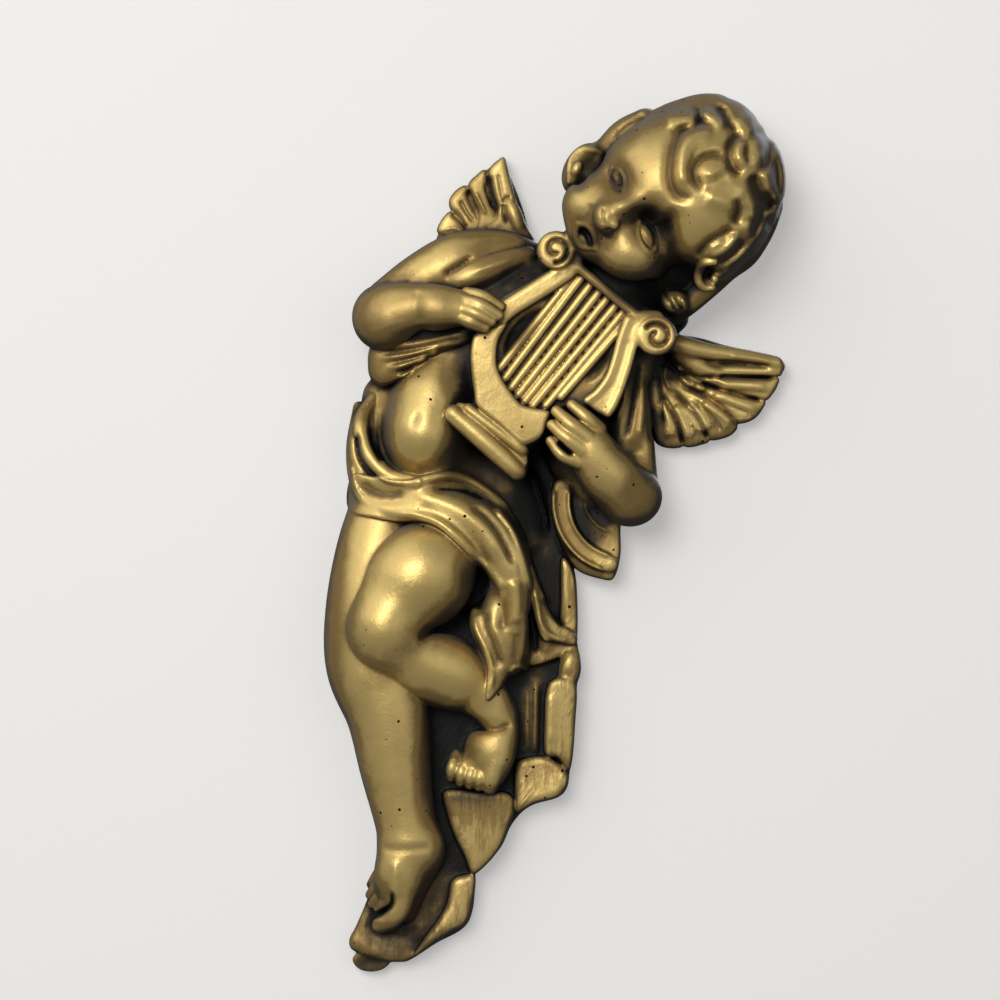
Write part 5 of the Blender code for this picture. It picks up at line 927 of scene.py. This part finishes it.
def dropSpecks(mesh):  # keeps the main body alone
    first, second = meshArray(mesh.edges, "vertices", 2, np.int32).T
    label = np.arange(len(mesh.vertices))
    while True:
        low = np.minimum(label[first], label[second])
        fresh = label.copy()
        np.minimum.at(fresh, first, low)
        np.minimum.at(fresh, second, low)
        fresh = fresh[fresh]
        if (fresh == label).all():
            break
        label = fresh
    counts = np.bincount(label)
    extra = label != counts.argmax()
    if extra.any():
        form = bmesh.new()
        form.from_mesh(mesh)
        form.verts.ensure_lookup_table()
        bmesh.ops.delete(form, geom=[form.verts[i] for i in np.flatnonzero(extra)], context="VERTS")
        form.to_mesh(mesh)
        form.free()
    print("specks dropped:", int(extra.sum()), "points")


def hung(points):  # the clay's millimetres to metres in the frame, the wall's face at y = 0
    x, z, h = points.T
    far, near = clayValues["eyeDistance"], clayValues["eyeHeight"]
    draw = (far - h) / (far - near)
    x, z = x * draw - clayValues["mount"][0], z * draw - clayValues["mount"][1]
    c, s = math.cos(lean), math.sin(lean)
    return np.column_stack([x * c - z * s, -np.maximum(h, 0), x * s + z * c]) / 1000


# how much of the sky in front each point sees past the forms around it, 0 to 1
def openSky(points, heights, clay, reach, directions):
    total = np.zeros(len(points))
    steps = reach ** (np.arange(1, 13) / 12) * 0.9
    for turn in range(directions):
        angle = 2 * math.pi * turn / directions
        top = np.zeros(len(points))
        for far in steps:
            x, z = points[:, 0] + far * math.cos(angle), points[:, 1] + far * math.sin(angle)
            top = np.maximum(top, (heights[clay.nearest(x, z)] - points[:, 2]) / far)
        total += 1 / (1 + top * top)
    return total / directions


def skyAt(shown, points, normals, clay):
    v = maskValues
    heights = clay.heights((slice(None),) * 3)
    lifted = points + normals * v["lift"]
    near = openSky(lifted, heights, clay, v["nearReach"], 12)
    sky = openSky(lifted, heights, clay, v["farReach"], 16)
    sky = np.minimum(sky, v["nearFloor"] + (1 - v["nearFloor"]) * near)
    first, second = meshArray(shown.edges, "vertices", 2, np.int32).T
    count = len(points)
    share = np.bincount(first, minlength=count) + np.bincount(second, minlength=count)
    for _ in range(3):  # evened out over the neighbours
        total = np.bincount(first, sky[second], count) + np.bincount(second, sky[first], count)
        sky = 0.4 * sky + 0.6 * total / share
    return sky


def ridgeAt(points, clay):  # over 0 on ridges and under 0 in grooves
    smooth = evened(np.clip(clay.field, -3, 3), 3)
    bend = np.zeros_like(smooth)
    for axis in range(3):
        f, out = np.moveaxis(smooth, axis, 0), np.moveaxis(bend, axis, 0)
        out[1:-1] += (f[:-2] + f[2:] - 2 * f[1:-1]) / clay.grain ** 2
    return np.clip(sampleField(bend, points, clay), -1, 1)


class Socket:  # a shader value that takes part in sums
    def __init__(self, tree, link):
        self.tree, self.link = tree, link

    def maths(self, operation, first, second):
        return self.node("ShaderNodeMath", {"operation": operation}, [first, second])

    def node(self, kind, settings=None, inputs=(), output=0):
        # settings are set first, then the sockets, by number or by name
        made = self.tree.nodes.new(kind)
        for name, value in (settings or {}).items():
            setattr(made, name, value)
        pairs = inputs.items() if isinstance(inputs, dict) else enumerate(inputs)
        for key, value in pairs:
            if isinstance(value, Socket):
                self.tree.links.new(value.link, made.inputs[key])
            elif value is not None:
                made.inputs[key].default_value = value
        return Socket(self.tree, made.outputs[output]) if len(made.outputs) else None

    def __add__(self, other):
        return self.maths("ADD", self, other)

    def __radd__(self, other):
        return self.maths("ADD", other, self)

    def __sub__(self, other):
        return self.maths("SUBTRACT", self, other)

    def __rsub__(self, other):
        return self.maths("SUBTRACT", other, self)

    def __mul__(self, other):
        return self.maths("MULTIPLY", self, other)

    def __rmul__(self, other):
        return self.maths("MULTIPLY", other, self)

    def step(self, low, high):  # rises smoothly from 0 to 1 between two values
        return self.node("ShaderNodeMapRange", {"interpolation_type": "SMOOTHSTEP"},
                         {0: self, 1: low, 2: high})

    def tint(self, first, second):  # a colour between two, by this mask
        return self.node("ShaderNodeMix", {"data_type": "RGBA"}, {0: self, 6: first, 7: second}, output=2)

    def turned(self, turn=(0, 0, 0), stretch=(1, 1, 1)):
        return self.node("ShaderNodeMapping", {"vector_type": "TEXTURE"}, {0: self, 2: turn, 3: stretch})

    def noise(self, scale, detail, roughness):
        return self.node("ShaderNodeTexNoise", None,
                         {"Vector": self, "Scale": scale, "Detail": detail, "Roughness": roughness})

    def cells(self, scale):  # distance to scattered points, and each one's own number
        made = self.node("ShaderNodeTexVoronoi", None, {"Vector": self, "Scale": scale})
        return made, Socket(self.tree, made.link.node.outputs[1])


def blank(name):
    material = bpy.data.materials.new(name)
    material.use_nodes = True
    material.node_tree.nodes.clear()
    return material, Socket(material.node_tree, None)


def rgb(colour):
    return (*colour, 1.0)


# the finish; colours are linear
brassValues = {
    "black": (0.0060, 0.0052, 0.0045),  # wash left in the hollows, together with painted shade there
    "umber": (0.056, 0.041, 0.023),  # thin wash on slopes, together with painted shade on what turns away from the lamps
    "paintedSheenGrey": (0.255, 0.212, 0.145),  # painted reflection of the pale room on the turned edges
    "bronze": (0.440, 0.292, 0.102),  # rubbed metal
    "gold": (0.870, 0.632, 0.228),  # the brightest rubbed metal, also the painted highlight on faces toward the lamps
    "metallic": 0.66,
    "roughGold": 0.43,
    "roughWash": 0.52,
    "specular": 0.3,
    "pinholes": 1.0,  # how dark
    "scratches": 1.0,
    "streak": 9,  # how much longer than wide a brush mark is
    "brushed": (-22, 14),  # slopes of the brush marks on the rocks, degrees
    "broad": 48,  # sizes of the mottling: how many to a metre
    "mottle": 210,
    "fine": 1100,
    "brush": 520,
    "holes": 260,
    "tinyHoles": 520,
}
# patches of wash and of painted shade: where, half width and height, turn, how dark; under 0 for rubbed
# ones, many of them painted highlights
washAndPaintedLightSpots = (
    (43, 68.6, 18, 6.5, -33, 1), (44, 73.4, 13, 4.2, -14, 0.75), (61, 75, 10, 7.4, 0, 1),
    (49.6, 95.6, 5.6, 4, 10, 0.95), (28.4, 87, 6.4, 8, 29, 0.85), (25, 80.6, 5, 4.4, -30, 0.9),
    (39.4, 106.6, 4.8, 6.8, 27, 0.85), (51.5, 88.6, 5, 8.4, 26, 0.75), (36, 88.8, 4.2, 2.6, -25, 0.9),
    (56.5, 89, 4, 10, 0, 0.55), (34, 110, 3.4, 8, -30, 0.5), (30.4, 92, 2.4, 5, 0, 0.5),
    (-24, 56.2, 19, 4.4, 4, 0.95), (-14.4, 40, 7, 12, 0, 0.75), (-17.6, 14, 5, 9, -10, 0.6),
    (-38, 20, 3.2, 12, 8, 0.65), (-40, 68, 7, 12, 20, 0.25), (11, -2, 8, 15, 12, 1),
    (-13, -37.6, 9, 4, 14, 0.55), (1.6, -49, 6, 11, 0, 0.4), (-24.4, -86, 4.6, 24, -3, 0.8),
    (-55.6, -32, 5.6, 34, 0, 0.45), (-10, -27, 5, 9, 24, 0.85), (84, 90, 8, 9, -20, 0.25),
    (64, 104, 6, 9, 10, 0.3), (56, 44, 6, 9, -10, 0.55), (24, -12, 6, 13, 30, 0.4),
    (-38, -148, 14, 4, 0, 0.6), (4, 75, 10, 5.4, 20, 0.72), (-4, 84, 10, 4, 14, 0.4),
    (-34, 46, 13, 7, 20, 0.5), (6, 56, 5, 9, -40, 0.8), (31, -8, 9, 9, -25, 0.8),
    (-39.6, -133, 4, 7, 10, 0.7), (-44, -151, 10, 5, 0, 0.6), (-43.4, -154, 8, 4.6, 0, 1),
    (46, 32, 4, 14, 0, 0.55), (36, 24, 5, 8, 30, 0.5), (-24, -140, 5, 12, -28, 0.8), (12, 16, 6, 6, 0, 0.8),
    (-12, -79, 10, 9, 0, 0.6), (62, 60, 8, 5, -30, 0.95), (-41, -60, 6, 6, 0, 0.3),
    (-10, -101, 12, 4.4, 0, 0.6), (14, -90, 8, 3.4, 0, 0.6), (46, 3, 7, 9, -20, 0.4),
    (8, -47, 4, 12, 0, 0.4), (30, 79, 6, 5, -30, 1), (-16, -52, 12, 8, 0, 0.2), (-6, -84, 5, 8, 0, 0.2),
    (-40, 42, 7, 6, 0, 0.45), (-46, 30, 6, 5, 0, 0.6), (80, 106, 22, 36, -12, -0.4),
    (84, 84, 14, 12, -30, -0.2), (-14, -62, 18, 10, -25, -0.35), (-27, 24, 11, 15, -12, -0.45),
    (-30, -26, 15, 13, 40, -0.4), (-28.2, 26.8, 1.5, 2.3, -20, 0.7), (-7, -116, 8, 7, 0, -0.5),
    (-9, -99.4, 13, 4.4, 0, 0.85), (15, -94, 8, 6, 0, -0.4), (21, -88.6, 6, 3, -30, 0.7),
    (19, -72, 5, 13, 0, -0.5), (-17, -134, 6, 12, -30, -0.4), (42.6, 93.4, 4, 3.4, 20, 0.9),
    (43, 98, 15, 20, 30, 0.32), (-28, 64, 15, 8, 0, 0.34), (2, 30, 12, 12, 0, 0.2),
    (-4, 92, 13, 5, 10, 0.5), (-7, 100, 12, 12, 0, 0.4), (0, 82, 16, 6, 8, 0.5), (-42, 62, 7, 10, 0, 0.35),
    (-30, -148, 18, 5, 5, 0.85), (-40, -146, 10, 6, 0, 0.8),
)


def antiqueBrass():
    v = brassValues
    material, kit = blank("antiqueBrass")
    place = kit.node("ShaderNodeTexCoord", output=3)  # metres on the casting itself

    def mask(name):
        return kit.node("ShaderNodeAttribute", {"attribute_name": name}, output=2)

    names = ("sky", "facing", "ridge", "rock", "lit", "washAndPaintedLight", "tone")
    sky, facing, ridge, rock, lit, washAndPaintedLight, tone = (mask(name) for name in names)
    broad = place.noise(v["broad"], 3, 0.55)
    mottle = place.noise(v["mottle"], 4, 0.62)
    fine = place.noise(v["fine"], 3, 0.65)
    along, slanted = (
        place.turned((0, math.radians(slope), 0), (1, 1, v["streak"])).noise(v["brush"], 4, 0.7)
        for slope in v["brushed"])
    brushed = kit.node("ShaderNodeMix", None, [broad.step(0.46, 0.54), None, along, slanted])

    # black where little of the sky is seen and darker on what turns away: the wash together with painted
    # shade; the listed patches add wash, painted shadows and painted highlights
    worn = (mottle - 0.5) * 0.30 + (broad - 0.5) * 0.24 + (fine - 0.5) * 0.10
    cut, raised = (0 - tone).step(0.05, 0.95), tone.step(0.1, 0.9)
    openness = sky + worn * 0.6 + ridge * 0.06
    # the gold is rubbed on what faces out and toward the upper left: partly real rubbing of the high faces,
    # partly painted light on the side toward the lamps and painted shade on slopes turning away
    slope = facing + (lit - 0.5) * 0.36 + worn * 0.7 + ridge * 0.08
    rubAndPaintedLight = openness.step(0.36, 0.84) * slope.step(0.26, 0.94)
    rubAndPaintedLight = rubAndPaintedLight * (1 - rock * brushed.step(0.36, 0.66) * 0.5 * v["scratches"])
    rubAndPaintedLight = rubAndPaintedLight * (1 - washAndPaintedLight * 0.92) * (1 - cut * 0.80)
    rubAndPaintedLight = rubAndPaintedLight + raised * openness.step(0.2, 0.6) * (1 - washAndPaintedLight * 0.6) * 0.16
    # how black a point is painted: the wash in the hollows together with painted shade
    hollow = 1 - (openness - washAndPaintedLight * 0.42 - cut * 0.30).step(0.16, 0.50)
    # turned edges toward the upper left and the open sky, where a grey reflection of the pale room is
    # painted, and which are rougher and less metallic
    paintedSheenEdge = (lit.step(0.46, 0.85) + sky.step(0.70, 0.92) * 0.5).step(0.0, 1.0)
    paintedSheenEdge = paintedSheenEdge * (1 - facing.step(0.25, 0.62))

    # umber through bronze to gold by how rubbed a point is, so the gold carries painted highlights and the
    # umber painted shade
    colour = rubAndPaintedLight.step(0.0, 0.46).tint(rgb(v["umber"]), rgb(v["bronze"]))
    colour = (rubAndPaintedLight + worn * 0.5 + ridge * 0.10).step(0.50, 1.04).tint(colour, rgb(v["gold"]))
    colour = (paintedSheenEdge * 0.72 * (1 - washAndPaintedLight)).tint(colour, rgb(v["paintedSheenGrey"]))
    colour = hollow.tint(colour, rgb(v["black"]))

    # pinholes of the casting, few and dark
    spots, number = place.cells(v["holes"])
    tiny, own = place.turned((0.4, 0.2, 0.1)).cells(v["tinyHoles"])
    wide = place.noise(60, 2, 0.5).step(0.40, 0.62)  # where they lie closer
    pit = (1 - spots.step(0.09, 0.15)) * (number + wide * 0.20).step(0.86, 0.87)
    pit = (pit + (1 - tiny.step(0.10, 0.16)) * (own + wide * 0.12).step(0.93, 0.94) * 0.8) * v["pinholes"]
    colour = pit.tint(colour, rgb(v["black"]))

    height = fine * 0.00007 + mottle * 0.00015 + broad * 0.0005 + brushed * rock * 0.0003 - pit * 0.0005
    bump = kit.node("ShaderNodeBump", None, {"Strength": 1.0, "Distance": 1.0, "Height": height})
    rough = rubAndPaintedLight * (v["roughGold"] - v["roughWash"]) + v["roughWash"] + worn * 0.12 + paintedSheenEdge * 0.08
    metal = rubAndPaintedLight.step(0.0, 0.5) * (1 - paintedSheenEdge * 0.5) * v["metallic"]
    shader = kit.node("ShaderNodeBsdfPrincipled", None,
                      {"Base Color": colour, "Roughness": rough, "Metallic": metal, "Normal": bump,
                       "Specular IOR Level": v["specular"]})
    kit.node("ShaderNodeOutputMaterial", None, {"Surface": shader})
    return material


# what the masks of the finish are worked out from, in millimetres
maskValues = {
    "lift": 0.3,  # how far off the clay a point looks at the sky
    "nearReach": 4.0,  # how far around it forms count, close by and in all
    "farReach": 34.0,
    "nearFloor": 0.35,  # what a point in a tight corner still sees
    "rockHeight": 15.5,  # the rocks are lower than this
    "rockTop": -20,
    "rockLeft": -22,
    "lowHeight": 9,  # and so is the backing between the forms
    "lowTop": 30,
    "lowDarkening": 0.55,  # the least darkening on the low backing
}


# how dark each point is from the listed patches of wash and painted shade, under 0 where a rubbed patch or
# painted highlight lies
def washAndPaintedLightAt(points):
    dark, bright = np.zeros(len(points)), np.zeros(len(points))
    for x, z, wide, tall, turn, amount in washAndPaintedLightSpots:
        c, s = math.cos(math.radians(turn)), math.sin(math.radians(turn))
        u, w = points[:, 0] - x, points[:, 1] - z
        reach = np.hypot((u * c + w * s) / wide, (w * c - u * s) / tall)
        fall = np.clip(1.35 - reach, 0, 1)
        fall = fall * fall * (3 - 2 * fall)
        dark, bright = np.maximum(dark, amount * fall), np.minimum(bright, amount * fall)
    return dark + bright


def castingMasks(shown, clay):  # what the finish needs to know of each point
    v = maskValues
    points = meshArray(shown.vertices, "co", 3).astype(float)
    normals = meshArray(shown.vertices, "normal", 3)
    x, z, h = points.T
    low = (h < v["lowHeight"]) & (z < v["lowTop"])
    rocks = (h < v["rockHeight"]) & (z < v["rockTop"]) & (x > v["rockLeft"]) | low
    washAndPaintedLight = washAndPaintedLightAt(points)
    masks = {
        "sky": skyAt(shown, points, normals, clay),
        # facing turns out from the wall and lit turns to the upper left, toward the lamps; the finish
        # paints light and shade by both
        "facing": np.clip(normals[:, 2], 0, 1),
        "ridge": ridgeAt(points, clay),
        "lit": np.clip(0.5 - 0.5 * normals[:, 0] * 0.7 + 0.5 * normals[:, 1] * 0.7, 0, 1),
        "rock": rocks.astype(float),
        "washAndPaintedLight": np.where(low, np.maximum(washAndPaintedLight, v["lowDarkening"]), washAndPaintedLight),
        "tone": clay.tone[clay.nearest(x, z)],
    }
    for name, values in masks.items():
        made = shown.attributes.new(name, "FLOAT", "POINT")
        made.data.foreach_set("value", values.astype(np.float32))
        print("mask", name, np.percentile(values, [5, 50, 95]).round(2))
    return points


def thinned(mesh, name):  # a piece of the mesh with fewer faces
    piece = bpy.data.objects.new(name, mesh)
    bpy.context.scene.collection.objects.link(piece)
    thin = piece.modifiers.new("Fewer faces", "DECIMATE")
    thin.ratio = min(1.0, clayValues["triangles"] / (2 * len(mesh.polygons)))
    thin.use_collapse_triangulate = True
    depsgraph = bpy.context.evaluated_depsgraph_get()
    shown = bpy.data.meshes.new_from_object(piece.evaluated_get(depsgraph))
    piece.modifiers.clear()
    piece.data = shown
    shown.name = name
    print("faces:", len(mesh.polygons), "to", len(shown.polygons))
    return piece


def makeCasting():
    clay = sculpt(clayValues["grain"] * (1.0))
    print("clay shaped:", clay.field.shape)
    mesh = clayMesh(clay)
    dropSpecks(mesh)
    piece = thinned(mesh, "cherubCasting")
    shown = piece.data
    points = castingMasks(shown, clay)
    low, high = np.array(frameBox[0]), np.array(frameBox[1])
    placed = np.clip(hung(points), low + 1e-6, high - 1e-6)
    shown.vertices.foreach_set("co", placed.astype(np.float32).ravel())
    shown.update()
    shown.shade_smooth()
    atBack = meshArray(shown.polygons, "normal", 3)[:, 1] > 0.98  # the flat back keeps its edge
    shown.polygons.foreach_set("use_smooth", ~atBack)
    shown.materials.append(antiqueBrass())
    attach(piece, "root")
    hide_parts("cherub_casting")
    print("casting made")


stageValues = {
    "wall": (0.795, 0.785, 0.76),  # linear
    "gap": 0.0006,  # between the back and the wall
    "size": 6.0,
    "world": 0.14,  # strength of the light from all around
    "worldTint": (0.93, 0.95, 1.0),
    "glow": 0.40,  # light from the pale room on the wall
    "sensor": 36.0,  # the camera's, in millimetres
    "across": 1000 / 3,  # millimetres of the plaque's plane that the picture takes in
}


def makeWall():
    v = stageValues
    mesh = bpy.data.meshes.new("wall")
    r, y = v["size"] / 2, v["gap"]
    mesh.from_pydata([(-r, y, -r), (r, y, -r), (r, y, r), (-r, y, r)], [], [(0, 1, 2, 3)])
    wall = bpy.data.objects.new("wall", mesh)
    bpy.context.scene.collection.objects.link(wall)
    material, kit = blank("palePlaster")
    plaster = kit.node("ShaderNodeBsdfPrincipled", None,
                       {"Base Color": rgb(v["wall"]), "Roughness": 0.9, "Specular IOR Level": 0.2,
                        "Emission Color": rgb(v["wall"]), "Emission Strength": v["glow"]})
    clear = kit.node("ShaderNodeBsdfTransparent")
    behind = kit.node("ShaderNodeNewGeometry", output=6)  # 1 on the wall's back, which is left clear
    mixed = kit.node("ShaderNodeMixShader", None, [behind, plaster, clear])
    kit.node("ShaderNodeOutputMaterial", None, {"Surface": mixed})
    mesh.materials.append(material)
    wall.visible_shadow = wall.visible_diffuse = wall.visible_glossy = False


def aim(thing, place, target, up=(0, 0, 1)):
    back = (Vector(place) - Vector(target)).normalized()
    right = Vector(up).cross(back).normalized()
    turn = Matrix((right, back.cross(right), back)).transposed()
    thing.matrix_world = Matrix.Translation(place) @ turn.to_4x4()


lightValues = {  # place and aim in the seen frame's metres: right, out, up; then size and watts
    "key": ((-0.34, 1.28, 0.42), 0.70, 7.6, (1.0, 0.985, 0.955)),
    "room": ((-1.3, 0.9, 1.2), 2.4, 13.0, (0.98, 0.99, 1.0)),
    "fill": ((0.9, 1.2, 0.1), 1.2, 1.6, (0.97, 0.98, 1.0)),
    "rear": ((0.5, -1.3, 0.6), 1.0, 10.0, (1.0, 1.0, 1.0)),
}


def seen(x, out, z):  # a place in the seen frame to the plaque's own
    x, z = x - clayValues["mount"][0] / 1000, z - clayValues["mount"][1] / 1000
    return (x * math.cos(lean) - z * math.sin(lean), -out, x * math.sin(lean) + z * math.cos(lean))


def makeStage():
    makeWall()
    for name, (place, size, watts, colour) in lightValues.items():
        data = bpy.data.lights.new(name, "AREA")
        data.shape, data.size, data.energy, data.color = "DISK", size, watts, colour
        lamp = bpy.data.objects.new(name, data)
        bpy.context.scene.collection.objects.link(lamp)
        aim(lamp, seen(*place), seen(0, 0.02, 0))
    world = bpy.data.worlds.new("pale")
    bpy.context.scene.world = world
    world.use_nodes = True
    world.node_tree.nodes.clear()
    kit = Socket(world.node_tree, None)
    v = stageValues
    light = kit.node("ShaderNodeBackground", None, {"Color": rgb(v["worldTint"]), "Strength": v["world"]})
    pale = kit.node("ShaderNodeBackground", None, {"Color": rgb(v["wall"]), "Strength": 1.0})
    mixed = kit.node("ShaderNodeMixShader", None, [kit.node("ShaderNodeLightPath"), light, pale])
    kit.node("ShaderNodeOutputWorld", None, {"Surface": mixed})

    far, near = clayValues["eyeDistance"], clayValues["eyeHeight"]
    data = bpy.data.cameras.new("camera")
    data.sensor_width = v["sensor"]
    data.lens = v["sensor"] * (far - near) / v["across"]
    data.clip_start, data.clip_end = 0.05, 20
    camera = bpy.data.objects.new("camera", data)
    bpy.context.scene.collection.objects.link(camera)
    aim(camera, seen(0, far / 1000, 0), seen(0, 0, 0), up=(-math.sin(lean), 0, math.cos(lean)))
    bpy.context.scene.camera = camera
    bpy.context.scene.view_settings.view_transform = "Standard"
    print("stage set")


makeCasting()
makeStage()
print("frame box", frameBox)
